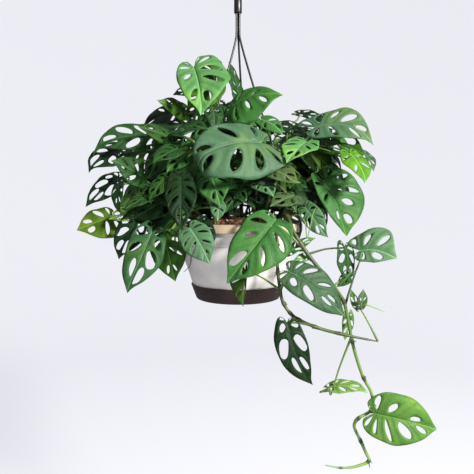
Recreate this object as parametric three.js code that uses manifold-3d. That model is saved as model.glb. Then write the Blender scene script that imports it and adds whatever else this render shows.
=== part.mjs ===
// A monstera adansonii (swiss cheese vine) growing in an eight inch hanging pot.
//
// Millimetres, +Z up. The origin is where the hook hangs: the inner top of its arch, on the
// pot's axis. The front of the plant, with its two trailing vines, looks along -Y.
// Places of the plant are given above the pot's rim, as [x, y, height].
import * as THREE from 'three';
import { mergeVertices } from 'three/addons/utils/BufferGeometryUtils.js';
import Module from 'manifold-3d';

const wasm = await Module();
wasm.setup();

// ---- driving dimensions ----
const RIM_TOP = -415; // the rim's top face, below the hook's seat
const RIM_RADIUS = 101.5; // an eight inch pot
const RIM_BAND = 12.5; // height of the down-turned rim
const RIM_WALL = 1.9;
const POT_WALL = 2.1;
const BAND_RADIUS = 94.2; // the set-back band under the rim
const GROOVE_DEPTH = 1.1;
const GROOVE = -32.4; // height of the groove between band and bowl
const FOOT_RADIUS = 62.6;
const POT_BASE = -117.5;
const SAUCER_BASE = -120;
const SAUCER_TOP = -96;
const SAUCER_RADIUS = 74.2;
const SEAT_GAP = 0.3; // clearance between pieces that touch
const DRAIN_HOLES = 4;
const DRAIN_RADIUS = 4.5;
const DRAIN_CIRCLE = 38;
const SOIL_CROWN = 11; // the root ball stands a little proud of the rim
const SOIL_EDGE = -7;
const SOIL_RADIUS = 92.4;
const STEM_RADIUS = 2.6;
const STEM_DEPTH = 20; // how far a stem stands in the soil
const PETIOLE_RADIUS = 1.5;
const BLADE_THICKNESS = 0.9;
const JOINT_ALONG = 0.07; // where the petiole meets the midrib, along the blade
const NECK = 9; // the petiole's last stretch, square to the blade
const CREST_PLACE = 0.55; // how far along the petiole its arch is highest
const CREST_RISE = 0.04; // how far it rises there, over its length
const SLOT_CORNERS = 4;
const SLOT_BAND = [0.22, 0.84]; // the share of the way round the outline that has slots
const VEIN_FAN = 3.2; // power that crowds the side veins towards the notch
const VEIN_SAG = 0.06; // how far a side vein bows back before it turns to the tip
const VEIN_TURN = 0.55; // where along a side vein it turns
const ARM_RADIUS = 1.6;
const ARM_SPREAD = 2.8; // the three arms, from the axis, where they run together
const ARM_SPLIT = -131; // where the arms leave each other
const ARM_ANGLES = [-24, 78, 214];
const SOCKET_TOP = -79;
const BLOCK_RADIUS = 6;
const BLOCK_TOP = -66;
const BLOCK_BASE = -91;
const HOOK_RADIUS = 10; // inside the hook's arch
const HOOK_ROD = 3.2;
const ROUND_SIDES = 24; // facets round the pot, the saucer and the soil

// ---- materials ----
const finish = (color, roughness) => new THREE.MeshStandardMaterial({ color, roughness });
const POT_WHITE = finish(0xe9e6e2, 0.42);
const SAUCER_BROWN = finish(0x33211f, 0.4);
const HANGER_BLACK = finish(0x17151a, 0.38);
const SOIL_DARK = finish(0x2a1b12, 0.95);
const LEAF_GREEN = finish(0x2f6a2a, 0.42);
const VINE_GREEN = finish(0x3b6b2c, 0.5);

// ---- solids: geometry in, geometry out, with manifold-3d only joining and cutting ----
function solidOf(geometry) {
  const bare = geometry.clone();
  bare.deleteAttribute('normal');
  bare.deleteAttribute('uv');
  const merged = mergeVertices(bare, 1e-4);
  return new wasm.Manifold(new wasm.Mesh({
    numProp: 3,
    vertProperties: new Float32Array(merged.attributes.position.array),
    triVerts: new Uint32Array(merged.index.array),
  }));
}

function geometryOf(solid) {
  const mesh = solid.getMesh();
  const geometry = new THREE.BufferGeometry();
  geometry.setAttribute('position', new THREE.BufferAttribute(mesh.vertProperties, 3));
  geometry.setIndex(new THREE.BufferAttribute(mesh.triVerts, 1));
  geometry.computeVertexNormals();
  return geometry;
}

const joined = (solids) => solids.reduce((whole, next) => whole.add(next));

// A closed profile of [radius, height] points, turned round the pot's axis.
function turned(profile, sides = ROUND_SIDES) {
  const points = profile.map(([radius, height]) => new THREE.Vector2(radius, height));
  return new THREE.LatheGeometry(points, sides).rotateX(Math.PI / 2);
}

// A route's rings stand exactly on its points, and between them where steps are finer.
class Route extends THREE.CatmullRomCurve3 {
  getPointAt(t, target) {
    return this.getPoint(t, target);
  }

  getTangentAt(t, target) {
    return this.getTangent(t, target);
  }
}

function rod(points, radius, sides, steps = points.length - 1) {
  const route = new Route(points.map((p) => new THREE.Vector3(...p)));
  const corners = [];
  for (let i = 0; i < sides; i += 1) {
    const angle = (2 * Math.PI * i) / sides;
    corners.push(new THREE.Vector2(radius * Math.cos(angle), radius * Math.sin(angle)));
  }
  return new THREE.ExtrudeGeometry(new THREE.Shape(corners), { steps, extrudePath: route });
}

function prism(x, y, from, to, radius, sides) {
  return new THREE.CylinderGeometry(radius, radius, to - from, sides)
    .rotateX(Math.PI / 2)
    .translate(x, y, (from + to) / 2);
}

const aboveRim = ([x, y, height]) => [x, y, RIM_TOP + height];
const group = new THREE.Group();

function add(name, geometry, material) {
  const mesh = new THREE.Mesh(geometry, material.clone());
  mesh.name = name;
  group.add(mesh);
}

// ---- pot, saucer and soil, in heights above the rim ----
const INNER_WALL = [ // the pot's inside, from the rim down to its floor
  [RIM_RADIUS - 6.5, -2],
  [BAND_RADIUS - POT_WALL, -14],
  [91.6 - POT_WALL, GROOVE - 1],
  [82.6 - POT_WALL, -64],
  [71.6 - POT_WALL, SAUCER_TOP],
  [FOOT_RADIUS - POT_WALL, POT_BASE + 3],
];
const SKIRT_INSIDE = RIM_RADIUS - RIM_WALL;
const SKIRT_ROOF = -4;

function makePot() {
  const outside = [
    [0, POT_BASE],
    [FOOT_RADIUS - 2, POT_BASE],
    [71.6, SAUCER_TOP],
    [79, -73],
    [87, -53],
    [91.6, GROOVE - 1],
    [91.8 - GROOVE_DEPTH, GROOVE],
    [92.2, GROOVE + 1],
    [BAND_RADIUS, -14],
    [BAND_RADIUS, SKIRT_ROOF],
    [SKIRT_INSIDE, SKIRT_ROOF],
    [SKIRT_INSIDE, -RIM_BAND],
    [RIM_RADIUS, -RIM_BAND],
    [RIM_RADIUS, -1.4],
    [RIM_RADIUS - 1.4, 0],
    [RIM_RADIUS - 5, 0],
  ];
  const shell = turned([...outside, ...INNER_WALL, [0, POT_BASE + 3]]);
  let pot = solidOf(shell);
  for (let i = 0; i < DRAIN_HOLES; i += 1) {
    const angle = (2 * Math.PI * (i + 0.5)) / DRAIN_HOLES;
    const x = DRAIN_CIRCLE * Math.cos(angle);
    const y = DRAIN_CIRCLE * Math.sin(angle);
    pot = pot.subtract(solidOf(prism(x, y, POT_BASE - 5, POT_BASE + 8, DRAIN_RADIUS, 6)));
  }
  return geometryOf(pot).translate(0, 0, RIM_TOP);
}

function makeSaucer() {
  return turned([
    [0, SAUCER_BASE],
    [62, SAUCER_BASE],
    [66, SAUCER_BASE + 2.6],
    [SAUCER_RADIUS, SAUCER_TOP],
    [SAUCER_RADIUS - 2, SAUCER_TOP],
    [64.4, SAUCER_BASE + 3.8],
    [62.6, POT_BASE - SEAT_GAP],
    [0, POT_BASE - SEAT_GAP],
  ]).translate(0, 0, RIM_TOP);
}

// The root ball fills the pot, and every stem stands in a plain hole of its own.
function makeSoil(rootPlaces) {
  const fill = INNER_WALL.slice(1).map(([radius, height]) => [radius - SEAT_GAP - 0.1, height]);
  const floor = POT_BASE + 3 + SEAT_GAP;
  const profile = [
    [0, SOIL_CROWN],
    [34, SOIL_CROWN - 2],
    [62, SOIL_CROWN - 8],
    [82, SOIL_EDGE + 5],
    [SOIL_RADIUS, SOIL_EDGE],
    ...fill.slice(0, -1),
    [FOOT_RADIUS - POT_WALL - 0.6, floor],
    [0, floor],
  ].reverse();
  let soil = solidOf(turned(profile));
  for (const [x, y] of rootPlaces) {
    const holeBase = soilHeight(x, y) - STEM_DEPTH - SEAT_GAP;
    soil = soil.subtract(solidOf(prism(x, y, holeBase, 30, STEM_RADIUS + SEAT_GAP + 0.4, 6)));
  }
  return geometryOf(soil).translate(0, 0, RIM_TOP);
}

function soilHeight(x, y) {
  const share = Math.hypot(x, y) / SOIL_RADIUS;
  return SOIL_CROWN - (SOIL_CROWN - SOIL_EDGE) * share * share;
}

// ---- hanger: a hook with its gathering block, and three arms ----
const armDirection = (degrees) => {
  const angle = THREE.MathUtils.degToRad(degrees);
  return [Math.cos(angle), Math.sin(angle)];
};

function makeHook() {
  const arch = HOOK_RADIUS + HOOK_ROD;
  const centre = -HOOK_RADIUS;
  const points = [];
  for (let degrees = 205; degrees >= -35; degrees -= 30) {
    const angle = THREE.MathUtils.degToRad(degrees);
    points.push([arch * Math.cos(angle), 0, centre + arch * Math.sin(angle)]);
  }
  points.push([4.5, 0, -28], [0.6, 0, -38], [0, 0, -50], [0, 0, BLOCK_TOP - 3]);
  let hook = solidOf(rod(points, HOOK_ROD, 6));
  hook = hook.add(solidOf(turned([
    [0, BLOCK_BASE],
    [BLOCK_RADIUS - 1, BLOCK_BASE],
    [BLOCK_RADIUS, BLOCK_BASE + 1],
    [BLOCK_RADIUS, BLOCK_TOP - 3],
    [HOOK_ROD + 0.6, BLOCK_TOP],
    [0, BLOCK_TOP],
  ], 16)));
  for (const degrees of ARM_ANGLES) {
    const [dx, dy] = armDirection(degrees);
    const x = ARM_SPREAD * dx;
    const y = ARM_SPREAD * dy;
    const radius = ARM_RADIUS + SEAT_GAP;
    hook = hook.subtract(solidOf(prism(x, y, BLOCK_BASE - 5, SOCKET_TOP, radius, 8)));
  }
  return geometryOf(hook);
}

// An arm bows slightly inwards on its way from the bundle to the rim. It passes outside the
// skirt and turns up behind it.
function makeArm(degrees) {
  const [dx, dy] = armDirection(degrees);
  const outer = RIM_RADIUS + SEAT_GAP + ARM_RADIUS;
  const inner = SKIRT_INSIDE * Math.cos(Math.PI / ROUND_SIDES) - SEAT_GAP - ARM_RADIUS;
  const middle = (outer + inner) / 2;
  const bend = -RIM_BAND - SEAT_GAP - 0.3;
  const profile = [
    [ARM_SPREAD, SOCKET_TOP - SEAT_GAP],
    [ARM_SPREAD, ARM_SPLIT + 8],
    [ARM_SPREAD + 1, ARM_SPLIT],
    [outer / 2 - 4, (ARM_SPLIT + RIM_TOP + 10) / 2],
    [outer - 2.4, RIM_TOP + 10],
    [outer - 0.5, RIM_TOP + 4],
    [outer, RIM_TOP - 2],
    [outer, RIM_TOP + bend],
    [middle + 1.9, RIM_TOP + bend - 2.2],
    [middle, RIM_TOP + bend - 3.1],
    [middle - 1.9, RIM_TOP + bend - 2.2],
    [inner, RIM_TOP + bend],
    [inner, RIM_TOP + bend + 5],
  ];
  return rod(profile.map(([radius, z]) => [radius * dx, radius * dy, z]), ARM_RADIUS, 6);
}

// ---- blades ----
// Half of a blade's outline, from the notch at the petiole to the drip tip: how far along
// the blade, as a fraction of its length, and how far out, as a fraction of its half width.
const OUTLINE = new THREE.SplineCurve([
  [0, 0], [-0.07, 0.16], [-0.10, 0.40], [-0.04, 0.68], [0.12, 0.92],
  [0.32, 1.0], [0.53, 0.90], [0.73, 0.60], [0.88, 0.24], [1, 0],
].map(([along, out]) => new THREE.Vector2(along, out)));

// A repeatable draw between 0 and 1.
function draw(seed, k) {
  const value = Math.sin(seed * 12.9898 + k * 78.233) * 43758.5453;
  return value - Math.floor(value);
}

const bow = (leaf, along) => leaf.bow * Math.sin(Math.PI * along);

// A point of one half's outline, a fraction t of the way round from the notch to the tip. The
// lobe reaches further back past the petiole than OUTLINE does, by the leaf's own amount.
const LOBE_END = 0.32; // the widest place, where a lobe begins
const LOBE_DEPTH = 0.42; // from there to the back of OUTLINE
const LOBE_POWER = 1.3; // a lower power makes a fuller lobe
const NOTCH_WIDTH = 0.26;

function outlinePoint(leaf, side, t) {
  const edge = OUTLINE.getPoint(t);
  const back = (Math.max(0, LOBE_END - edge.x) / LOBE_DEPTH) ** LOBE_POWER;
  const lobe = leaf.lobes[side > 0 ? 0 : 1] * back * Math.min(1, edge.y / NOTCH_WIDTH);
  const along = edge.x - lobe;
  const half = leaf.half * (1 + side * leaf.lopsided);
  return [along, side * edge.y * half + bow(leaf, along)];
}

// The point a fraction v of the way from the midrib to the edge, along the side vein that
// ends at t on the outline.
function veinPoint(leaf, side, t, v) {
  const { clamp } = THREE.MathUtils;
  const end = outlinePoint(leaf, side, t);
  const start = [t ** VEIN_FAN, bow(leaf, t ** VEIN_FAN)];
  const sag = VEIN_SAG * clamp((t - 0.2) / 0.3, 0, 1) * clamp((1 - t) / 0.2, 0, 1);
  const [along, out] = [0, 1].map((i) => THREE.MathUtils.lerp(start[i], end[i], VEIN_TURN));
  const bend = [along - sag, out];
  return [0, 1].map((i) => (
    (1 - v) ** 2 * start[i] + 2 * v * (1 - v) * bend[i] + v * v * end[i]
  ));
}

// Slots between the side veins, as rings of points, for one half of a blade.
function slots(leaf, side) {
  const rings = [];
  for (let i = 0; i < leaf.slots; i += 1) {
    const k = 10 * i + (side > 0 ? 3 : 7);
    const place = (i + 0.35 + 0.3 * draw(leaf.seed, k)) / leaf.slots;
    const t = THREE.MathUtils.lerp(...SLOT_BAND, place);
    const tall = Math.min(0.07, (0.12 + 0.05 * draw(leaf.seed, k + 1)) / leaf.slots);
    const from = 0.17 + 0.12 * draw(leaf.seed, k + 2);
    const to = 0.80 + 0.07 * draw(leaf.seed, k + 3);
    const ring = [];
    for (let j = 0; j < SLOT_CORNERS; j += 1) {
      const turn = (2 * Math.PI * j) / SLOT_CORNERS;
      const v = (from + to) / 2 - ((to - from) / 2) * Math.cos(turn);
      ring.push(veinPoint(leaf, side, t + tall * Math.sin(turn), v));
    }
    rings.push(ring);
  }
  return rings;
}

// The blade's curved middle surface: it arches from base to tip, folds along the midrib and
// curls down or up towards its edges, which ripple. An old leaf's end rolls under as well, by
// leaf.roll radians. Gives a point and the upper side's normal.
const RIPPLES = 7; // radians of ripple along a blade
const RIPPLE_SHIFT = 6;
const ROLL_START = 0.64; // the share of a blade's length where the roll begins
const FLAT_END = 0.01; // radians of roll that leave a blade's end as good as flat

function bladeFrame(leaf) {
  const base = new THREE.Vector3(...leaf.base);
  const chord = new THREE.Vector3(...leaf.tip).sub(base);
  const reach = chord.length();
  const ahead = chord.normalize();
  const up = new THREE.Vector3(...leaf.face);
  up.addScaledVector(ahead, -up.dot(ahead)).normalize();
  const across = new THREE.Vector3().crossVectors(up, ahead);
  const droop = leaf.droop;
  const length = (reach * droop) / 2 / Math.sin(droop / 2);
  return { base, ahead, up, across, length };
}

function onBlade(leaf, frame, [place, out]) {
  const { base, ahead, up, across, length } = frame;
  const past = Math.max(0, place - ROLL_START);
  const roll = (past / (1 - ROLL_START)) * leaf.roll;
  const rollRadius = (1 - ROLL_START) / leaf.roll;
  const along = place - past + rollRadius * Math.sin(roll);
  const depth = rollRadius * (1 - Math.cos(roll));
  const turn = leaf.droop / 2 - leaf.droop * along;
  const radius = length / leaf.droop;
  const forward = radius * (Math.sin(leaf.droop / 2) - Math.sin(turn));
  const rise = radius * (Math.cos(turn) - Math.cos(leaf.droop / 2));
  const local = new THREE.Vector3()
    .addScaledVector(up, Math.cos(turn))
    .addScaledVector(ahead, -Math.sin(turn));
  const onward = new THREE.Vector3()
    .addScaledVector(ahead, Math.cos(turn))
    .addScaledVector(up, Math.sin(turn));
  const middle = bow(leaf, along);
  const side = Math.sign(out - middle);
  const away = Math.abs(out - middle);
  const bend = leaf.curl / leaf.half;
  const lean = leaf.fold - bend * away;
  const sideways = (Math.sin(leaf.fold) - Math.sin(lean)) / bend;
  const ripple = Math.sin(RIPPLES * along + RIPPLE_SHIFT * leaf.seed);
  const wave = leaf.wave * (away / leaf.half) ** 2 * ripple;
  const lift = (Math.cos(lean) - Math.cos(leaf.fold)) / bend + wave;
  const point = base.clone()
    .addScaledVector(ahead, forward)
    .addScaledVector(up, rise)
    .addScaledVector(across, length * (middle + side * sideways))
    .addScaledVector(local, length * lift);
  const tilt = side === 0 ? 0 : lean;
  const normal = local.multiplyScalar(Math.cos(tilt))
    .addScaledVector(across, -side * Math.sin(tilt));
  point.addScaledVector(normal, -length * depth);
  normal.multiplyScalar(Math.cos(roll)).addScaledVector(onward, Math.sin(roll));
  return { point, normal };
}

// A blade as one closed shell: the same triangles on both faces, walls on every edge.
function makeBlade(leaf) {
  const frame = bladeFrame(leaf);
  const flat = [[0, 0]];
  const midrib = [0];
  for (let i = 1; i <= leaf.ribs; i += 1) {
    const s = i / (leaf.ribs + 1);
    midrib.push(flat.push([s, bow(leaf, s)]) - 1);
  }
  midrib.push(flat.push([1, 0]) - 1);
  const triangles = [];
  for (const side of [1, -1]) {
    const rim = [];
    for (let i = leaf.points - 1; i > 0; i -= 1) {
      rim.push(flat.push(outlinePoint(leaf, side, i / leaf.points)) - 1);
    }
    const contour = [...midrib, ...rim];
    const holes = slots(leaf, side).map((ring) => ring.map((p) => flat.push(p) - 1));
    const order = [...contour, ...holes.flat()];
    const asVectors = (list) => list.map((i) => new THREE.Vector2(...flat[i]));
    const cut = THREE.ShapeUtils.triangulateShape(asVectors(contour), holes.map(asVectors));
    for (const [a, b, c] of cut) {
      triangles.push([order[a], order[b], order[c]]);
    }
  }
  for (const corner of triangles) {
    const [a, b, c] = corner.map((i) => flat[i]);
    const area = (b[0] - a[0]) * (c[1] - a[1]) - (b[1] - a[1]) * (c[0] - a[0]);
    if (area < 0) corner.reverse();
  }
  return shellOf(flat.map((p) => onBlade(leaf, frame, p)), triangles);
}

function shellOf(surface, triangles) {
  const position = [];
  for (const offset of [BLADE_THICKNESS / 2, -BLADE_THICKNESS / 2]) {
    for (const { point, normal } of surface) {
      position.push(...point.clone().addScaledVector(normal, offset).toArray());
    }
  }
  const under = surface.length;
  const edges = new Set();
  const index = [];
  for (const [a, b, c] of triangles) {
    index.push(a, b, c, c + under, b + under, a + under);
    [[a, b], [b, c], [c, a]].forEach(([i, j]) => edges.add(`${i} ${j}`));
  }
  for (const edge of edges) {
    const [i, j] = edge.split(' ').map(Number);
    if (!edges.has(`${j} ${i}`)) {
      index.push(j, i, i + under, j, i + under, j + under);
    }
  }
  const geometry = new THREE.BufferGeometry();
  geometry.setAttribute('position', new THREE.Float32BufferAttribute(position, 3));
  geometry.setIndex(index);
  return geometry;
}

// ---- leafy stems ----
// root: where the stem stands in the soil. route: its points, above the rim.
// Each leaf leaves the stem at a fraction of its route, or from a point beside it.
// base: where the petiole meets the blade. tip: the drip tip. face: where its upper side
// looks. wide: width over length. Small leaves have fewer slots. lobes: how far the lobes of
// the two halves reach back past the petiole, over length.
const STEMS = [
  {
    name: 'stem_crown_left',
    root: [-18, 10],
    route: [[-22, 5, 60], [-35, -5, 120], [-50, -10, 170], [-58, -20, 205]],
    leaves: [
      {
        at: 1.0,
        base: [-65, -44, 230],
        tip: [-50, -88, 153],
        face: [-1, -8, 4],
        wide: 0.84,
        lopsided: 0.24,
        lobes: [0.22, 0.12],
      },
      { at: 0.9, base: [-66, -2, 206], tip: [-100, -16, 196], face: [0, -8, 5], wide: 0.6 },
      { at: 0.5, base: [-79, -20, 168], tip: [-118, -55, 179], face: [-2, -8, 3], wide: 0.6 },
      { at: 0.4, base: [-65, 26, 189], tip: [-73, 8, 145], face: [-1, -9, 3], wide: 0.7 },
    ],
  },
  {
    name: 'stem_crown_right',
    root: [6, -8],
    route: [[4, -6, 60], [0, -8, 120], [-2, -14, 160]],
    leaves: [
      {
        at: 1.0,
        base: [-8, -42, 174],
        tip: [64, -74, 184],
        face: [2, -8, 5],
        wide: 0.78,
        bow: 0.05,
        lopsided: -0.46,
        lobes: [0.02, 0.22],
      },
      { at: 0.95, base: [2, -5, 192], tip: [-14, 6, 252], face: [7, -5, 2], wide: 0.55 },
      { at: 0.7, base: [-19, 4, 186], tip: [-31, -14, 140], face: [0, -9, 3], wide: 0.7 },
    ],
  },
  {
    name: 'stem_middle',
    root: [24, -38],
    route: [[28, -44, 45], [34, -62, 90], [38, -76, 108]],
    leaves: [
      {
        at: 1.0,
        base: [32, -88, 115],
        tip: [-78, -112, 70],
        face: [1, -8, 4],
        wide: 0.74,
        bow: -0.08,
        droop: 0.8,
        fold: 0.12,
        curl: 0.4,
        roll: 2.4,
        lopsided: 0.2,
        lobes: [0.14, 0.04],
        ribs: 7,
        points: 12,
      },
      { at: 0.1, base: [29, -64, 60], tip: [50, -95, 39], face: [1, -7, 6], wide: 0.7 },
      { at: 0.3, base: [10, -50, 62], tip: [-18, -74, 16], face: [-1, -8, 4], wide: 0.6 },
    ],
  },
  {
    name: 'stem_middle_left',
    root: [-28, -28],
    route: [[-38, -40, 55], [-52, -52, 100], [-66, -54, 122]],
    leaves: [
      { at: 1.0, base: [-90, -58, 136], tip: [-42, -104, 130], face: [1, -7, 6], wide: 0.6 },
      { at: 0.8, base: [-43, -66, 120], tip: [-70, -92, 94], face: [-5, -6, 6], wide: 0.6 },
      { at: 0.7, base: [-85, -80, 107], tip: [-117, -112, 85], face: [-1, -7, 7], wide: 0.75 },
      { at: 0.5, base: [-74, -52, 103], tip: [-104, -70, 75], face: [-1, -8, 4], wide: 0.7 },
    ],
  },
  {
    name: 'stem_right_top',
    root: [45, 4],
    route: [[60, -8, 60], [84, -22, 104], [104, -36, 128]],
    leaves: [
      {
        at: 1.0,
        base: [116, -45, 143],
        tip: [197, -66, 118],
        face: [1, -9, 4],
        wide: 0.66,
        bow: 0.13,
        lopsided: 0.16,
        lobes: [0.26, 0.02],
      },
      { at: 0.9, base: [104, -12, 142], tip: [42, 20, 156], face: [0, -4, 9], wide: 0.7 },
      { at: 0.85, base: [130, -34, 124], tip: [184, -70, 98], face: [0, -8, 5], wide: 0.66 },
      { at: 0.8, base: [160, -76, 101], tip: [177, -105, 58], face: [3, -8, 4], wide: 0.74 },
      { at: 0.9, base: [187, -38, 107], tip: [199, -58, 77], face: [3, -8, 3], wide: 0.55 },
      { at: 0.75, base: [100, -56, 120], tip: [67, -99, 86], face: [-2, -7, 6], wide: 0.8 },
    ],
  },
  {
    name: 'stem_right',
    root: [62, -6],
    route: [[80, -12, 34], [98, -24, 58], [112, -32, 70]],
    leaves: [
      {
        at: 1.0,
        base: [129, -50, 60],
        tip: [155, -74, -18],
        face: [2, -9, 2],
        wide: 0.82,
        lopsided: 0.36,
        lobes: [0.24, 0.16],
      },
      { at: 0.6, base: [99, -60, 24], tip: [128, -80, -20], face: [-4, -8, 3], wide: 0.55 },
      { at: 0.7, base: [78, -40, 58], tip: [100, -70, 52], face: [0, -8, 5], wide: 0.7 },
    ],
  },
  {
    name: 'stem_right_inner',
    root: [38, -56],
    route: [[46, -60, 38], [60, -58, 70]],
    leaves: [
      { at: 1.0, base: [40, -66, 82], tip: [84, -94, 55], face: [0, -7, 7], wide: 0.7 },
      { at: 0.7, base: [81, -72, 41], tip: [45, -98, 25], face: [-1, -7, 7], wide: 0.8 },
    ],
  },
  {
    name: 'vine_long',
    root: [58, -60],
    route: [
      [64, -78, 12], [70, -95, 10], [76, -107, -8], [88, -112, -28], [104, -114, -50],
      [118, -114, -67], [133, -114, -85], [146, -112, -105], [153, -110, -131],
      [160, -107, -163], [169, -104, -193], [178, -102, -217], [189, -101, -237],
      [192, -100, -254], [188, -100, -266], [172, -100, -276], [166, -100, -286],
      [175, -100, -308], [183, -100, -326], [188, -100, -338], [172, -100, -346],
      [150, -100, -349], [125, -100, -345],
    ],
    leaves: [
      {
        at: 0.16,
        base: [52, -118, 8],
        tip: [-15, -142, -76],
        face: [-1, -9, 4],
        wide: 0.68,
        lopsided: 0.08,
        lobes: [-0.06, -0.08],
      },
      {
        at: 0.33,
        base: [171, -100, -36],
        tip: [214, -128, -45],
        face: [1, -9, 3],
        wide: 1.2,
        bow: 0.08,
        lopsided: 0.4,
        lobes: [0.45, 0.02],
      },
      { at: 0.16, base: [150, -98, -31], tip: [148, -104, -84], face: [6, -8, 0], wide: 0.7 },
      {
        at: 0.64,
        base: [191, -112, -264],
        tip: [277, -118, -284],
        face: [0, -9, 2],
        wide: 0.78,
        lobes: [0.02, 0.04],
      },
      { at: 0.4, base: [129, -100, -232], tip: [177, -130, -228], face: [0, -2, 9], wide: 0.7 },
      { at: 0.38, base: [158, -90, -127], tip: [151, -92, -165], face: [1, -9, 0], wide: 0.45 },
    ],
  },
  {
    name: 'vine_short',
    root: [40, -72],
    route: [
      [46, -90, 10], [51, -101, 4], [54, -105, -20], [55, -108, -60], [58, -112, -89],
      [63, -115, -108], [73, -116, -122], [86, -117, -131], [113, -118, -142],
      [152, -122, -151], [192, -122, -159],
    ],
    leaves: [
      {
        at: 0.4,
        base: [10, -108, -62],
        tip: [6, -114, -112],
        face: [-3, -8, 1],
        wide: 0.5,
        lopsided: -0.7,
      },
      {
        at: 0.4,
        base: [68, -130, -61],
        tip: [142, -136, -124],
        face: [1, -8, 5],
        wide: 0.55,
        lobes: [0, 0],
      },
      {
        at: 0.75,
        base: [67, -128, -132],
        tip: [100, -126, -219],
        face: [0, -9, 1],
        wide: 0.46,
        bow: -0.05,
        lopsided: -0.1,
        lobes: [-0.04, 0.02],
      },
      { at: 1.0, base: [165, -118, -114], tip: [155, -118, -87], face: [-3, -9, 0], wide: 0.4 },
      {
        from: [165, -118, -114],
        base: [168, -121, -112],
        tip: [170, -124, -86],
        face: [2, -9, 3],
        wide: 0.6,
      },
    ],
  },
  {
    name: 'stem_left_top',
    root: [-45, 6],
    route: [[-64, 0, 60], [-94, -8, 104], [-114, -14, 124]],
    leaves: [
      {
        at: 0.9,
        base: [-122, -24, 131],
        tip: [-217, -50, 113],
        face: [0, -9, 4],
        wide: 0.5,
        bow: -0.05,
        lopsided: 0,
      },
      { at: 0.8, base: [-101, -48, 127], tip: [-143, -72, 139], face: [0, -8, 5], wide: 0.62 },
      { at: 1.0, base: [-183, -10, 114], tip: [-228, -40, 80], face: [-2, -8, 4], wide: 0.78 },
    ],
  },
  {
    name: 'stem_left_middle',
    root: [-56, -18],
    route: [[-84, -28, 30], [-112, -38, 48], [-130, -44, 57]],
    leaves: [
      { at: 0.95, base: [-137, -50, 67], tip: [-178, -88, 92], face: [-1, -8, 4], wide: 0.7 },
      { at: 0.95, base: [-182, -25, 70], tip: [-224, -58, 25], face: [-3, -8, 3], wide: 0.64 },
      { at: 0.85, base: [-171, -68, 62], tip: [-168, -84, 15], face: [-6, -6, 2], wide: 0.6 },
      { at: 0.75, base: [-126, -72, 40], tip: [-155, -102, 22], face: [0, -5, 8], wide: 0.6 },
    ],
  },
  {
    name: 'stem_left_low',
    root: [-70, -8],
    route: [[-92, -14, 12], [-114, -24, 10], [-134, -32, 4]],
    leaves: [
      {
        at: 1.0,
        base: [-196, -19, 10],
        tip: [-242, -45, -10],
        face: [-2, -8, 3],
        wide: 1,
        lopsided: 0.18,
      },
      { at: 0.9, base: [-157, -40, 17], tip: [-190, -58, 6], face: [0, -8, 5], wide: 0.7 },
      { at: 0.7, base: [-148, -62, 8], tip: [-175, -72, -50], face: [-2, -9, 2], wide: 0.7 },
    ],
  },
  {
    name: 'stem_left_front',
    root: [-58, -46],
    route: [[-72, -66, 12], [-84, -80, 6], [-94, -84, -6]],
    leaves: [
      { at: 1.0, base: [-121, -92, -11], tip: [-157, -104, -94], face: [-1, -9, 2], wide: 0.62 },
      { at: 0.9, base: [-108, -72, -8], tip: [-90, -82, -82], face: [-2, -9, 1], wide: 0.74 },
      { at: 0.7, base: [-66, -114, -4], tip: [-38, -122, -52], face: [-1, -9, 3], wide: 0.8 },
    ],
  },
  {
    name: 'stem_front_left',
    root: [-34, -60],
    route: [[-42, -70, 34], [-54, -78, 56]],
    leaves: [
      { at: 0.9, base: [-42, -80, 78], tip: [-24, -108, 24], face: [-1, -9, 3], wide: 0.76 },
      { at: 1.0, base: [-80, -94, 66], tip: [-78, -120, -8], face: [-1, -9, 4], wide: 0.56 },
      { at: 0.9, base: [-102, -78, 68], tip: [-124, -92, 34], face: [-3, -8, 5], wide: 0.75 },
      { at: 0.6, base: [-29, -95, 32], tip: [-27, -114, 6], face: [0, -9, 3], wide: 0.7 },
    ],
  },
];

// The back of the mound is filled evenly: a stem in each sector, with a low leaf over the
// rim, one that spreads and one or two that stand high.
const BACK_SECTORS = [18, 56, 108, 150];
const LOW_BASES = [64, 22, 22, 22]; // above the rim, where each low leaf starts

function backStem(degrees, index) {
  const high = index % 2 === 0;
  const place = (radius, turn, height) => {
    const angle = THREE.MathUtils.degToRad(degrees + turn);
    return [radius * Math.cos(angle), radius * Math.sin(angle), height];
  };
  const shift = (k, size) => size * (draw(90 + index, k) - 0.5);
  const top = high ? 150 : 112;
  return {
    name: `stem_back_${index + 1}`,
    root: place(56, 0, 0).slice(0, 2),
    route: [place(64, 0, 40), place(76, 0, 78), place(84, 0, top)],
    leaves: [
      {
        at: 0.4,
        base: place(122, -7, LOW_BASES[index] + shift(1, 12)),
        tip: place(142, -10, LOW_BASES[index] - 84 + shift(2, 24)),
        face: place(9, -10, 3),
        wide: 0.72,
      },
      {
        at: 0.75,
        base: place(132, 6, 84 + shift(3, 10)),
        tip: place(204 + shift(4, 16), 4, 44 + shift(5, 14)),
        face: place(5, 4, 8),
        wide: 0.7,
      },
      {
        at: 1,
        base: place(104, 0, top + 26),
        tip: place(172 + shift(6, 16), -3, top + 8),
        face: place(4, 0, 9),
        wide: 0.72,
      },
    ],
  };
}

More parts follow.
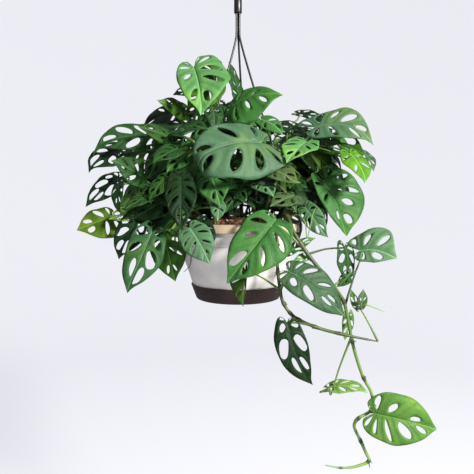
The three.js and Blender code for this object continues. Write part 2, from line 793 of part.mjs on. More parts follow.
// Fills in what a leaf's line leaves out, with its detail following its size.
function completed(leaf, seed) {
  const size = Math.hypot(...leaf.tip.map((v, i) => v - leaf.base[i]));
  const large = size > 76;
  const small = size < 46;
  return {
    droop: 0.45 + 0.35 * draw(seed, 1),
    fold: 0.16 + 0.16 * draw(seed, 2),
    curl: 0.42 + 0.3 * draw(seed, 3),
    wave: 0.03,
    roll: FLAT_END,
    bow: 0.02 + 0.02 * draw(seed, 4),
    lopsided: 0.09 * (draw(seed, 5) - 0.5),
    lobes: [0.03 + 0.07 * draw(seed, 6), 0.03 + 0.07 * draw(seed, 7)],
    half: leaf.wide / 2,
    seed,
    points: large ? 8 : small ? 5 : 6,
    ribs: large ? 3 : small ? 1 : 2,
    slots: large ? 3 : small ? 1 : 2,
    ...leaf,
    base: aboveRim(leaf.base),
    tip: aboveRim(leaf.tip),
  };
}

// A petiole rises from the stem and meets its blade from below, square to the midrib, with
// its end inside the blade's thickness.
function makePetiole(leaf, route) {
  const base = new THREE.Vector3(...leaf.base);
  const start = leaf.from ? new THREE.Vector3(...aboveRim(leaf.from)) : route.getPoint(leaf.at);
  const reach = start.distanceTo(base);
  const frame = bladeFrame(leaf);
  const rib = 1 / (leaf.ribs + 1);
  const { point, normal } = onBlade(leaf, frame, [rib, bow(leaf, rib)]);
  point.lerp(base, 1 - JOINT_ALONG / rib);
  const neck = point.clone().addScaledVector(normal, -Math.min(NECK, reach / 4));
  const crest = start.clone().lerp(neck, CREST_PLACE);
  crest.z += CREST_RISE * reach;
  return rod([start, crest, neck, point].map((p) => p.toArray()), PETIOLE_RADIUS, 3);
}

const piecesOf = (stem, number) => {
  const [x, y] = stem.root;
  const surface = soilHeight(x, y);
  const points = [
    [x, y, surface - STEM_DEPTH], [x, y, surface - 4], [x, y, surface + 4], ...stem.route,
  ].map(aboveRim);
  const route = new Route(stem.route.map((p) => new THREE.Vector3(...aboveRim(p))));
  const pieces = [{ name: 'stem', solid: solidOf(rod(points, STEM_RADIUS, 5)) }];
  stem.leaves.forEach((leaf, i) => {
    const whole = completed(leaf, 10 * number + i + 1);
    pieces.push({ name: `blade ${i}`, solid: solidOf(makeBlade(whole)) });
    pieces.push({ name: `petiole ${i}`, solid: solidOf(makePetiole(whole, route)) });
  });
  return pieces;
};

const growth = [...STEMS, ...BACK_SECTORS.map(backStem)].map((stem, number) => (
  { name: stem.name, root: stem.root, pieces: piecesOf(stem, number + 1) }
));

add('pot', makePot(), POT_WHITE);
add('saucer', makeSaucer(), SAUCER_BROWN);
add('soil', makeSoil(growth.map(({ root }) => root)), SOIL_DARK);
add('hanger_hook', makeHook(), HANGER_BLACK);
ARM_ANGLES.forEach((degrees, i) => add(`hanger_arm_${i + 1}`, makeArm(degrees), HANGER_BLACK));
for (const { name, pieces } of growth) {
  const material = name.startsWith('vine') ? VINE_GREEN : LEAF_GREEN;
  add(name, geometryOf(joined(pieces.map(({ solid }) => solid))), material);
}

export default group;
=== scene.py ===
# %% [markdown]
# # A swiss cheese vine in a hanging pot
#
# The plant is *Monstera adansonii*, in a white plastic pot of 8 inches across that hangs
# by three black arms. A CAD model already has every stem, leaf and pot wall in its
# place, but with few flat faces. Each step here puts a fine form in the place of a
# coarse one. Sizes are in millimetres, and `MM` turns them into Blender's metres.

# %% Load the CAD frame
import math

import bpy
import numpy as np
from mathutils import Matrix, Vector


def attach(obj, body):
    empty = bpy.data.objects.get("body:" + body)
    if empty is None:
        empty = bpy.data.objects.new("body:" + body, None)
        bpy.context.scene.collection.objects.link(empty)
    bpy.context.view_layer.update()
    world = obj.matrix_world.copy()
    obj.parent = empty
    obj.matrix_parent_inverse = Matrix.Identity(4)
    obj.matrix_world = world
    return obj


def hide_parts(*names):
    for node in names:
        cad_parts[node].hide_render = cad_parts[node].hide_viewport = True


MM = 0.001
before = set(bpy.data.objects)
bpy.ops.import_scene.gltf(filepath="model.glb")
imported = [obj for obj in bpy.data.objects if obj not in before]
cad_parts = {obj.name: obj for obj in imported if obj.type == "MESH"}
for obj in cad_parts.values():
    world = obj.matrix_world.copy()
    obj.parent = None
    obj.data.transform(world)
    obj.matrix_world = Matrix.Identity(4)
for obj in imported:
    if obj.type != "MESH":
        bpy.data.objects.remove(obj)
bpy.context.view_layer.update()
print("CAD nodes:", len(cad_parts))

# %% [markdown]
# ## Camera
#
# The plant is seen from its front, at about 0.8 m. At so short a distance the near
# leaves look larger than the far ones, so the distance matters as much as the angle.

# %% Camera
CAMERA_PLACE = (0, -825, -387.5)
CAMERA_DIP = 3.5  # degrees below the horizon
LENS, SIDE_SHIFT, NEAREST = 39.5, -0.002, 0.01


def new_object(name, data):
    made = bpy.data.objects.new(name, data)
    bpy.context.scene.collection.objects.link(made)
    return made


camera = new_object("camera", bpy.data.cameras.new("camera"))
camera.data.lens, camera.data.shift_x, camera.data.clip_start = LENS, SIDE_SHIFT, NEAREST
camera.location = Vector(CAMERA_PLACE) * MM
camera.rotation_euler = (math.radians(90 - CAMERA_DIP), 0, 0)
bpy.context.scene.camera = camera
print("camera at", CAMERA_PLACE, "mm, lens", LENS, "mm")

# %% [markdown]
# ## Helpers for node trees
#
# Shader trees and geometry trees are wired alike. `node` makes a node, sets what is
# fixed and links what comes from another node. It returns a `Flow`, and arithmetic with
# a flow adds nodes to its tree, so the recipes that follow read like formulas.

# %% Node helpers
class Flow:
    """A value that flows out of a node. A name in brackets picks another of its outputs."""

    def __init__(self, socket):
        self.socket, self.tree = socket, socket.id_data
        self.is_vector = socket.type == "VECTOR"

    def __getitem__(self, name):
        return Flow(self.socket.node.outputs[name])

    def math(self, operation, *others):
        kind = "ShaderNodeVectorMath" if self.is_vector else "ShaderNodeMath"
        return node(self.tree, kind, self, *others, operation=operation)

    def __add__(self, other):
        return self.math("ADD", other)

    def __sub__(self, other):
        return self.math("SUBTRACT", other)

    def __mul__(self, other):
        return self.math("SCALE" if self.is_vector else "MULTIPLY", other)

    def __truediv__(self, other):
        return self.math("DIVIDE", other)


def wire(value, socket):
    """Links value to the socket if it flows from a node, and sets it otherwise."""
    if isinstance(value, Flow):
        value.tree.links.new(value.socket, socket)
    else:
        socket.default_value = value


def node(tree, kind, *values, **named):
    """A new node's flow. Small names are settings, others sockets, with _ for a space."""
    made = tree.nodes.new(kind)
    for name in filter(str.islower, named):
        setattr(made, name, named[name])
    sockets = [s for s in made.inputs if s.enabled]
    for value, socket in zip(values, sockets):
        wire(value, socket)
    for name, value in named.items():
        if not name.islower():
            wire(value, next(s for s in sockets if s.name.replace(" ", "_") == name))
    return Flow(next(s for s in made.outputs if s.enabled))


def sin(flow):
    return flow.math("SINE")


def cos(flow):
    return flow.math("COSINE")


def noise(place, scale, detail=2.0):
    return node(place.tree, "ShaderNodeTexNoise", Vector=place, Scale=scale, Detail=detail)


def fade(flow, start, end):
    """1 where the flow is at start, falling smoothly to 0 at end."""
    return node(flow.tree, "ShaderNodeMapRange", Value=flow, From_Min=start, From_Max=end,
                To_Min=1.0, To_Max=0.0, interpolation_type="SMOOTHSTEP")


def blend(share, first, second, mode="MIX"):
    """A colour between first and second."""
    tree = next(v.tree for v in (share, first) if isinstance(v, Flow))
    return node(tree, "ShaderNodeMix", Factor=share, A=first, B=second, data_type="RGBA",
                blend_type=mode)


def paint(code):
    """A colour code such as 3B6B2C as the light that Blender reckons with."""
    shares = [int(code[i:i + 2], 16) / 255 for i in (0, 2, 4)]
    return (*[s / 12.92 if s < 0.04045 else ((s + 0.055) / 1.055) ** 2.4 for s in shares], 1.0)


FLOAT, INT, COLOUR, VECTOR, GEOMETRY, MATERIAL = (
    "NodeSocket" + kind for kind in ("Float", "Int", "Color", "Vector", "Geometry", "Material")
)


def new_group(name, kind, inputs, outputs):
    """A node group, the flows into it and its results. Sockets are listed by their type."""
    tree = bpy.data.node_groups.new(name, kind)
    for in_out, sockets in (("INPUT", inputs), ("OUTPUT", outputs)):
        for socket_type, titles in sockets.items():
            for title in titles:
                tree.interface.new_socket(title, in_out=in_out, socket_type=socket_type)
    given = Flow(tree.nodes.new("NodeGroupInput").outputs[0])
    return tree, given, tree.nodes.new("NodeGroupOutput").inputs


print("a mid green as light:", [round(c, 3) for c in paint("3B6B2C")])

# %% [markdown]
# ## Shader groups
#
# Nothing on a plant or a moulded pot has one flat colour. Two effects come back in
# several materials, so each is a node group with its own values in each material:
#
# * `speckle` mixes a coarse and a fine noise, for uneven colour and a fine bump.
# * `leaf_pattern` paints a blade from distances that its mesh carries: to the midrib, to
#   the nearest side vein and to the nearest edge. That keeps every vein on its place,
#   however the blade bends.

# %% Speckle group
COARSE_SHARE, FINE_SHARE = 0.7, 0.3


def make_speckle():
    tree, given, result = new_group(
        "speckle", "ShaderNodeTree", {VECTOR: ["Place"], FLOAT: ["Patch size", "Grain size"]},
        {FLOAT: ["Mask", "Height"]})
    coarse = noise(given["Place"], given["Patch size"].math("POWER", -1.0), 3.0)
    fine = noise(given["Place"], given["Grain size"].math("POWER", -1.0))
    wire(fine * FINE_SHARE + coarse * COARSE_SHARE, result["Mask"])
    wire(fine, result["Height"])
    return tree


SPECKLE = make_speckle()
print("speckle nodes:", len(SPECKLE.nodes))

# %% Leaf pattern group
VEIN_PALE = paint("9CC184")
VEIN_WAX = 0.22  # share of that pale wax on a vein, over a lighter shade of the leaf
WAX_BY_GREEN = 2.2  # dark leaves carry less of it
# What the leaf's own green is multiplied by, for veins and for painted sunlit patches, and the
# painted shade in the sunken groove beside a vein.
LIGHTER, PAINTED_SUN_YELLOWER, PAINTED_GROOVE_SHADE = (2.4, 2.2, 2.6, 1), (2.1, 1.5, 0.7, 1), (0.01, 0.04, 0.01, 1)
SUN, PATCH, STREAK, PUCKER, NET = 14.0, 28.0, 160.0, 210.0, 420.0  # patterns to a metre


def make_leaf_pattern():
    tree, given, result = new_group(
        "leaf_pattern", "ShaderNodeTree",
        {COLOUR: ["Tint"], VECTOR: ["Place"],
         FLOAT: ["Midrib distance", "Vein distance", "Edge distance", "Vein strength"]},
        {COLOUR: ["Colour"], FLOAT: ["Roughness", "Height"]})
    tint, place, vein = given["Tint"], given["Place"], given["Vein distance"]
    patches, streaks = noise(place, PATCH, 3.0), noise(place, STREAK)
    uneven = streaks * 0.40 + (patches * 0.55 + 0.50)
    shade = node(tree, "ShaderNodeCombineColor", uneven, uneven, uneven)
    # Painted sunlight: random blotches turn the leaf's green lighter and yellower.
    painted_sunlit_patches = fade(noise(place, SUN), 0.66, 0.5)
    colour = blend(painted_sunlit_patches * 0.5, blend(1.0, tint, shade, "MULTIPLY"),
                   blend(1.0, tint, PAINTED_SUN_YELLOWER, "MULTIPLY"))
    green = node(tree, "ShaderNodeSeparateColor", tint)["Green"]
    wax = (green * WAX_BY_GREEN).math("MINIMUM", VEIN_WAX)
    vein_tone = blend(wax, blend(1.0, tint, LIGHTER, "MULTIPLY"), VEIN_PALE)
    # Painted shade: a darker green in the sunken groove along each side vein.
    colour = blend(fade(vein, 0.0, 3.4) * 0.36, colour, PAINTED_GROOVE_SHADE)
    net = fade(node(tree, "ShaderNodeTexVoronoi", feature="DISTANCE_TO_EDGE", Vector=place,
                    Scale=NET), 0.0, 0.12)
    for share in (net * 0.12, fade(vein, 0.1, 0.6) * given["Vein strength"],
                  fade(given["Midrib distance"], 0.3, 1.0) * 0.75,
                  fade(given["Edge distance"], 0.1, 0.5) * 0.16):
        colour = blend(share, colour, vein_tone)
    wire(colour, result["Colour"])
    wire(patches * 0.35 + 0.27, result["Roughness"])
    wire(noise(place, PUCKER) * 1.6 - net * 0.25, result["Height"])
    return tree


LEAF_PATTERN = make_leaf_pattern()
print("leaf pattern nodes:", len(LEAF_PATTERN.nodes))

# %% [markdown]
# ## Materials of the plant
#
# A blade has a waxy upper side and a paler, duller underside, so a leaf has two
# materials. Each reads the blade's own tint, because new leaves are a bright yellow
# green and old ones a deep blue green.

# %% Leaf and stalk materials
def new_material(name):
    material = bpy.data.materials.new(name)
    material.use_nodes = True
    return material, material.node_tree


def dress(material, **values):
    """Sets inputs of the material's shader."""
    shader = next(n for n in material.node_tree.nodes if n.type == "BSDF_PRINCIPLED")
    for name, value in values.items():
        wire(value, shader.inputs[name.replace("_", " ")])
    return material


def bump(height, strength, distance):
    return node(height.tree, "ShaderNodeBump", Height=height, Strength=strength,
                Distance=distance)


def attribute(tree, name, output="Fac"):
    return node(tree, "ShaderNodeAttribute", attribute_name=name)[output]


def object_place(tree):
    return node(tree, "ShaderNodeTexCoord")["Object"]


def speckled(tree, patch, grain):
    return node(tree, "ShaderNodeGroup", node_tree=SPECKLE, Place=object_place(tree),
                Patch_size=patch, Grain_size=grain)


def leaf_material(name, paler, vein_strength, rougher):
    material, tree = new_material(name)
    pattern = node(
        tree, "ShaderNodeGroup", node_tree=LEAF_PATTERN, Place=object_place(tree),
        Tint=blend(paler, attribute(tree, "tint", "Color"), paint("86A878")),
        Midrib_distance=attribute(tree, "midrib_mm"), Vein_distance=attribute(tree, "vein_mm"),
        Edge_distance=attribute(tree, "edge_mm"), Vein_strength=vein_strength)
    return dress(material, Base_Color=pattern["Colour"], Specular_IOR_Level=0.15,
                 Roughness=pattern["Roughness"] + rougher,
                 Normal=bump(pattern["Height"], 0.5, 0.0008))


def stalk_material(name, young, old, woody):
    """A stalk by its age: 0 is young and pale, 1 is old and dark, 2 is a woody knuckle."""
    material, tree = new_material(name)
    age, speckle = attribute(tree, "age"), speckled(tree, 0.012, 0.0012)
    tone = blend(fade(age, 1.0, 0.0), paint(young), paint(old))
    tone = blend(fade(age, 1.9, 1.0), tone, paint(woody))
    tone = blend(speckle["Mask"] * 0.55, tone, paint("2C3A16"))
    return dress(material, Base_Color=tone, Roughness=0.48,
                 Normal=bump(speckle["Height"], 0.4, 0.0003))


LEAF_TOP = leaf_material("leaf_upper_side", 0.0, 0.22, 0.0)
LEAF_UNDER = leaf_material("leaf_underside", 0.28, 0.45, 0.14)
STALK = stalk_material("green_stalk", "86AE58", "33461D", "554A28")
print("plant materials:", [m.name for m in (LEAF_TOP, LEAF_UNDER, STALK)])

# %% [markdown]
# ## The shape of one leaf
#
# A leaf of this plant is heart shaped, with long slots between its side veins. It is
# drawn flat first, as if pressed in a book. The outline of one half is a smooth curve
# through ten points, from the notch round to the tip.
#
# Two numbers make the natural grid of a blade: `t` is the share of the way round the
# outline at which a side vein ends, and `v` is the share of the way out along that vein.
# Most veins leave the midrib close to the notch and fan out, so a vein's start on the
# midrib is a high power of `t`. A slot between two veins is an oval in these numbers.

# %% Outline and veins
OUTLINE = np.array([
    (0, 0), (-0.07, 0.16), (-0.10, 0.40), (-0.04, 0.68), (0.12, 0.92),
    (0.32, 1.0), (0.53, 0.90), (0.73, 0.60), (0.88, 0.24), (1, 0),
])
LOBE_END, LOBE_DEPTH, LOBE_POWER, NOTCH_WIDTH = 0.32, 0.42, 1.3, 0.26
HOOK_START = 0.78  # share of the length at which a drip tip turns aside
RAGGED, RAGGED_TURNS = 0.03, 23  # how far the margin wanders, and how quickly
VEIN_FAN = 3.2  # power that crowds the veins towards the notch
VEIN_SAG = 0.06  # how far a side vein bows back before it turns to the tip
VEIN_TURN = 0.55  # where along a side vein it turns


def draw(seed, k):
    """A repeatable draw between 0 and 1."""
    value = math.sin(seed * 12.9898 + k * 78.233) * 43758.5453
    return value - math.floor(value)


def between(here, after, leave, arrive, w):
    """A share w of the way along a smooth curve, from its ends and its slopes there."""
    return (here + leave * w + (3 * after - 3 * here - 2 * leave - arrive) * w ** 2
            + (2 * here - 2 * after + leave + arrive) * w ** 3)


def outline_at(t):
    """Points of the half outline at shares t of the way from the notch to the tip."""
    last = len(OUTLINE) - 1
    place = np.clip(t, 0, 1) * last
    index = place.astype(int)
    before, here, after, beyond = (OUTLINE[np.clip(index + k, 0, last)] for k in (-1, 0, 1, 2))
    return between(here, after, (after - before) / 2, (beyond - here) / 2,
                   (place - index)[..., None])


def midrib_bow(leaf, along):
    hooked = np.clip((along - HOOK_START) / (1 - HOOK_START), 0, 1) ** 2
    return leaf["bow"] * np.sin(np.pi * along) + leaf["hook"] * hooked


def edge_point(leaf, side, t):
    """The edge of one half, whose lobe reaches back past the petiole."""
    along, out = np.moveaxis(outline_at(t), -1, 0)
    back = (np.clip(LOBE_END - along, 0, None) / LOBE_DEPTH) ** LOBE_POWER
    along = along - leaf["lobes"][side] * back * np.clip(out / NOTCH_WIDTH, 0, 1)
    wander = np.sin(np.pi * t) * np.sin(RAGGED_TURNS * t + leaf["seed"] + 2 * side)
    half = leaf["half"] * (1 + side * leaf["lopsided"]) * (1 + RAGGED * wander)
    return np.stack([along, side * out * half + midrib_bow(leaf, along)], -1)


def vein_point(leaf, side, t, v):
    """The flat place of (t, v), as shares of the leaf's length along and out."""
    s, v = t ** VEIN_FAN, v[..., None]
    start, end = np.stack([s, midrib_bow(leaf, s)], -1), edge_point(leaf, side, t)
    sag = VEIN_SAG * np.clip((t - 0.2) / 0.3, 0, 1) * np.clip((1 - t) / 0.2, 0, 1)
    bend = start + VEIN_TURN * (end - start) - np.stack([sag, 0 * s], -1)
    return (1 - v) ** 2 * start + 2 * v * (1 - v) * bend + v ** 2 * end


print("widest at", np.round(outline_at(np.array([5 / 9])), 2), "of length and half width")

# %% [markdown]
# ## A flat blade with its slots
#
# Between two side veins lies a panel. A panel with a slot is meshed in rings, from the
# panel's border in to the edge of the slot, so the faces flow round the slot with no
# leftover corners. The blade gets its thickness while it is still flat: an upper side
# that swells between its sunken veins, and an underside with raised ribs.

# %% Panels, slots and rings
SLOT_BANDS = {6: (0.15, 0.86), 5: (0.17, 0.84), 4: (0.21, 0.81), 3: (0.28, 0.74)}
LAST_BORDER = 0.93
SHORT_SLOTS = 0.16  # share of the slots that are only holes near the midrib


def panels_of(leaf, side):
    """Borders of the panels round the outline, and the slot in each, if it has one."""
    seed, count = leaf["seed"], leaf["slots"][side]
    centres = np.linspace(*SLOT_BANDS[count], count)
    room = (centres[1] - centres[0]) / 2
    borders = [0.0, *(centres + room), 1.0]
    borders[-2] = min(borders[-2], LAST_BORDER)
    slots = []
    for i, centre in enumerate(centres):
        k = 10 * i + (3 if side > 0 else 7)
        tall = room * leaf["open"][side] * (0.6 + 0.7 * draw(seed, k + 1))
        shifted = centre + 0.5 * (room - tall) * (draw(seed, k) - 0.5)
        start = 0.12 + 0.18 * draw(seed, k + 2) + (0.18 if i == 0 else 0)
        end = 0.80 + 0.12 * draw(seed, k + 3)
        if draw(seed, k + 5) < SHORT_SLOTS:
            end = start + 0.4
        is_cut = draw(seed, k + 4) <= leaf["slotted"]
        slots.append((shifted, tall, start, end) if is_cut else None)
    return borders, [*slots, None]


def oval(centre, tall, start, end, turns):
    """Points on a slot's edge, pointed at both its ends. Turn 0 is its inner end."""
    x = np.cos(turns)
    t = centre + tall * np.sign(np.sin(turns)) * np.clip(1 - x * x, 0, 1) ** 0.72
    return t, (start + end) / 2 - (end - start) / 2 * x


def ring_loop(low, high, across, out):
    """(t, v) round a panel's border, and the turn that each point faces on the slot."""
    a, b = np.linspace(-1, 1, across + 1), np.linspace(-1, 1, out + 1)
    xs = np.concatenate([a[:-1], np.ones(out), a[:0:-1], -np.ones(out)])
    ys = np.concatenate([-np.ones(across), b[:-1], np.ones(across), b[:0:-1]])
    return low + (xs + 1) / 2 * (high - low), (ys + 1) / 2, np.arctan2(xs, -ys)


print("a slot's corner count:", len(ring_loop(0, 1, 8, 12)[0]))

# %% Flat leaf mesh
TINY = 1e-6
FAR, VEINLESS = 9.0, 99  # stand for no slot and for no vein near by
PANEL_REACH = 6  # mm, taken as the way from a slot's edge to its panel's border


class FlatLeaf:
    """The vertices and faces of one pressed leaf."""

    def __init__(self, leaf):
        self.leaf, self.index, self.keys, self.faces = leaf, {}, [], []
        for self.side in (1, -1):
            borders, slots = panels_of(leaf, self.side)
            for *self.border, slot in zip(borders, borders[1:], slots):
                self.add_panel(slot)

    def vertex(self, t, v, to_slot=FAR):
        """The number of the vertex at (t, v). Both halves share those on the midrib."""
        is_shared = v < TINY or t < TINY or t > 1 - TINY
        v = 0.0 if is_shared else v
        key = (0 if is_shared else self.side, round(t, 5), round(v, 5))
        if key not in self.index:
            self.index[key] = len(self.keys)
            self.keys.append((self.side, t, v, *self.border, to_slot))
        return self.index[key]

    def add_panel(self, slot):
        across, out = self.leaf["steps"]
        if slot is None:
            rows = [[self.vertex(t, v) for t in np.linspace(*self.border, across + 1)]
                    for v in np.linspace(0, 1, out + 1)]
        else:
            t, v, turns = ring_loop(*self.border, across, out)
            slot_t, slot_v = oval(*slot, turns)
            rows = []
            for share in np.linspace(0, 1, self.leaf["rings"] + 1):
                places = zip(t + share * (slot_t - t), v + share * (slot_v - v))
                row = [self.vertex(*place, 1 - share) for place in places]
                rows.append(row + row[:1])
        for outer, inner in zip(rows, rows[1:]):
            for j in range(len(outer) - 1):
                corners = dict.fromkeys([outer[j], outer[j + 1], inner[j + 1], inner[j]])
                if len(corners) > 2:
                    self.faces.append(list(corners)[::self.side])

    def measured(self):
        """Flat places, and their distances from midrib, vein and edge, in mm."""
        leaf, size = self.leaf, self.leaf["length"]
        side, t, v, low, high, to_slot = np.array(self.keys, float).T
        flat, near = np.zeros((len(t), 2)), np.zeros((3, len(t)))
        for half in (1, -1):
            here = side == half
            flat[here] = vein_point(leaf, half, t[here], v[here])
            for row, at, out in zip(near, (low, high, t), (v, v, np.ones_like(v))):
                other = vein_point(leaf, half, at[here], out[here])
                row[here] = size * np.hypot(*(other - flat[here]).T)
        vein = np.minimum(np.where(low > 0, near[0], VEINLESS),
                          np.where(high < 1, near[1], VEINLESS))
        midrib = np.abs(flat[:, 1] - midrib_bow(leaf, flat[:, 0])) * size
        return flat * size, midrib, vein, np.minimum(near[2], to_slot * PANEL_REACH)


print("made ready: the mesh of a flat leaf")

# %% Leaf solid
THICKNESS = 0.62  # mm, at the margin
RIB_DEPTH, RIB_WIDTH = 0.9, 1.1  # mm that the midrib stands out below
VEIN_DEPTH, VEIN_WIDTH = 0.28, 0.9
SWELL = 2.3  # mm that a large leaf's panels rise between their veins
ROLL_START = 0.64  # share of the length at which an old leaf's end rolls under


def rolled(leaf, flat, height):
    """Places of a blade whose end rolls under by leaf["roll"], a turn in radians."""
    past = np.clip(flat[:, 0] - ROLL_START * leaf["length"], 0, None)
    radius = (1 - ROLL_START) * leaf["length"] / leaf["roll"]
    turn = past / radius
    along = flat[:, 0] - past + (radius + height) * np.sin(turn)
    return np.column_stack([along, flat[:, 1], (radius + height) * np.cos(turn) - radius])


def set_layer(mesh, name, values, kind="FLOAT", domain="POINT"):
    """A named attribute on the mesh."""
    field = "color" if kind == "FLOAT_COLOR" else "value"
    layer = mesh.attributes.new(name, kind, domain)
    layer.data.foreach_set(field, np.asarray(values, np.float32))


def leaf_solid(leaf):
    """The pressed leaf as a closed mesh, lying flat with its upper side towards +Z."""
    net = FlatLeaf(leaf)
    flat, midrib, vein, edge = net.measured()
    size, under = leaf["size"] / 100, len(flat)
    # Panels swell between their veins and lie calm at their edges and at the midrib.
    calm = np.clip(0.35 + edge / 4, 0, 1) * np.clip(midrib / 6, 0, 1)
    swell = SWELL * size * calm * (1 - np.exp(-np.minimum(vein, 40) / (5 * size + 1)))
    slender = 1 - 0.7 * np.clip(flat[:, 0] / leaf["length"], 0, 1)
    rib = RIB_DEPTH * size * np.exp(-(midrib / RIB_WIDTH) ** 2) * slender
    rib += VEIN_DEPTH * size * np.exp(-(vein / VEIN_WIDTH) ** 2)
    top = rolled(leaf, flat, swell + THICKNESS / 2)
    bottom = rolled(leaf, flat, swell - THICKNESS / 2 - rib)
    faces = net.faces + [[i + under for i in reversed(face)] for face in net.faces]
    edges = {(a, b) for face in net.faces for a, b in zip(face, face[1:] + face[:1])}
    walls = sorted([b, a, a + under, b + under] for a, b in edges if (b, a) not in edges)
    mesh = bpy.data.meshes.new("pressed_leaf")
    mesh.from_pydata(np.vstack([top, bottom]) * MM, [], faces + walls)
    is_under = np.repeat([0, 1, 0], [len(net.faces), len(net.faces), len(walls)])
    set_layer(mesh, "underside", is_under, domain="FACE")
    for name, values in (("midrib_mm", midrib), ("vein_mm", vein), ("edge_mm", edge)):
        set_layer(mesh, name, np.tile(values, 2))
    set_layer(mesh, "tint", np.tile(leaf["tint"], 2 * under), "FLOAT_COLOR")
    return mesh


print("leaf thickness at the margin:", THICKNESS, "mm")

# %% [markdown]
# ## Bending a leaf with Geometry Nodes
#
# A living blade is never flat. It arches from its base to its tip, folds a little along
# the midrib, curls down towards its edges and waves at its margin. That is one rule
# with a few sizes, so it is a node tree with named inputs. It moves each point of the
# pressed leaf:
#
# 1. the arch is part of a circle that turns by `Droop` in all,
# 2. each half is part of another circle, which starts at `Fold` and turns by `Curl`,
# 3. the point's height over the sheet is then laid off along the bent sheet's normal.

# %% Bending tree
RIPPLES, RIPPLE_SHIFT = 7.0, 6.0  # radians along a blade, and from one leaf to the next
BEND_INPUTS = {
    GEOMETRY: ["Geometry"], VECTOR: ["Base", "Ahead", "Up", "Across"],
    FLOAT: ["Length", "Half width", "Droop", "Fold", "Curl", "Wave", "Bow", "Phase"],
    MATERIAL: ["Upper side", "Underside"],
}


def dressed(geometry, material):
    """Every geometry tree here ends with these two nodes."""
    real = node(geometry.tree, "GeometryNodeRealizeInstances", geometry)
    return node(geometry.tree, "GeometryNodeSetMaterial", real, Material=material)


def make_leaf_bend():
    tree, given, result = new_group("leaf_bend", "GeometryNodeTree", BEND_INPUTS,
                                    {GEOMETRY: ["Geometry"]})
    length, half, droop, fold = (given[n] for n in ("Length", "Half width", "Droop", "Fold"))
    up, ahead, across = given["Up"], given["Ahead"], given["Across"]
    place = node(tree, "ShaderNodeSeparateXYZ", node(tree, "GeometryNodeInputPosition"))
    along = place["X"] / length
    middle = given["Bow"] * sin(along * math.pi)
    offset = place["Y"] / length - middle
    side, away = offset.math("SIGN"), offset.math("ABSOLUTE")
    bend = given["Curl"] / half
    lean = fold - bend * away
    sideways = (sin(fold) - sin(lean)) / bend
    ripple = sin(along * RIPPLES + given["Phase"] * RIPPLE_SHIFT)
    wave = given["Wave"] * (away / half).math("POWER", 2.0) * ripple
    lift = (cos(lean) - cos(fold)) / bend + wave
    half_droop, radius = droop / 2.0, length / droop
    turn = half_droop - droop * along
    forward = radius * (sin(half_droop) - sin(turn))
    rise = radius * (cos(turn) - cos(half_droop))
    level = up * cos(turn) - ahead * sin(turn)
    normal = level * cos(lean) - across * (sin(lean) * side)
    point = given["Base"] + ahead * forward + up * rise
    point = point + across * (length * (side * sideways + middle))
    point = point + level * (length * lift) + normal * place["Z"]
    moved = node(tree, "GeometryNodeSetPosition", given["Geometry"], Position=point)
    upper = dressed(node(tree, "GeometryNodeSetShadeSmooth", moved), given["Upper side"])
    underside = node(tree, "GeometryNodeInputNamedAttribute", Name="underside")
    lower = node(tree, "GeometryNodeSetMaterial", upper, Material=given["Underside"],
                 Selection=underside.math("GREATER_THAN", 0.5))
    wire(lower, result["Geometry"])
    return tree


LEAF_BEND = make_leaf_bend()
print("nodes in the bending tree:", len(LEAF_BEND.nodes))

# %% Running a tree on a mesh
def grown(mesh, tree, **values):
    """The plain mesh that a geometry tree makes of a mesh, with its inputs set by identifier."""
    holder = new_object("holder", mesh)
    modifier = holder.modifiers.new("tree", "NODES")
    modifier.node_group = tree
    for item in tree.interface.items_tree:
        name = item.name.replace(" ", "_")
        if item.in_out == "INPUT" and name in values:
            modifier[item.identifier] = values[name]
    bpy.context.view_layer.update()
    evaluated = holder.evaluated_get(bpy.context.evaluated_depsgraph_get())
    result = bpy.data.meshes.new_from_object(evaluated)
    holder.modifiers.clear()
    bpy.data.objects.remove(holder)
    return result


def unit(vector):
    return vector / np.linalg.norm(vector)


def leaf_axes(leaf):
    """The leaf's own directions: ahead to its tip, up from its upper side, and across."""
    ahead = unit(np.subtract(leaf["tip"], leaf["base"]))
    face = np.asarray(leaf["face"], float)
    up = unit(face - ahead * face.dot(ahead))
    return ahead, up, np.cross(up, ahead)


def bent_leaf(leaf):
    ahead, up, across = (Vector(axis) for axis in leaf_axes(leaf))
    return grown(
        leaf_solid(leaf), LEAF_BEND, Length=leaf["length"] * MM, Half_width=leaf["half"],
        Droop=leaf["droop"], Fold=leaf["fold"], Curl=leaf["curl"], Wave=leaf["wave"],
        Bow=leaf["bow"], Phase=float(leaf["seed"]), Base=Vector(leaf["base"]) * MM,
        Ahead=ahead, Up=up, Across=across, Upper_side=LEAF_TOP, Underside=LEAF_UNDER)


print("a leaf's own directions are unit vectors:", unit(np.array([0, 3, 4])))

# %% [markdown]
# ## Stalks as tubes along a path
#
# Vines, petioles and roots are tubes that follow a path. A petiole is the stalk of one
# leaf. It leaves the vine at a knuckle, rises in an arch and meets its blade from below.
# A path is a chain of edges whose points carry a girth and an age, and a node tree turns
# every chain into a tube of that girth.

# %% Tube tree
STALK_SIDES = 10
KNUCKLE_LENGTH, KNUCKLE_SWELL = 3.2, 0.34


def make_tube_tree(name, sides):
    tree, given, result = new_group(
        name, "GeometryNodeTree", {GEOMETRY: ["Geometry"], MATERIAL: ["Material"]},
        {GEOMETRY: ["Geometry"]})
    curve = node(tree, "GeometryNodeMeshToCurve", given["Geometry"])
    girth = node(tree, "GeometryNodeInputNamedAttribute", Name="girth")
    profile = node(tree, "GeometryNodeCurvePrimitiveCircle", Resolution=sides, Radius=1.0)
    tube = node(tree, "GeometryNodeCurveToMesh", curve, Profile_Curve=profile, Scale=girth,
                Fill_Caps=True)
    smooth = node(tree, "GeometryNodeSetShadeSmooth", tube)
    wire(dressed(smooth, given["Material"]), result["Geometry"])
    return tree


TUBES = make_tube_tree("stalk_tubes", STALK_SIDES)


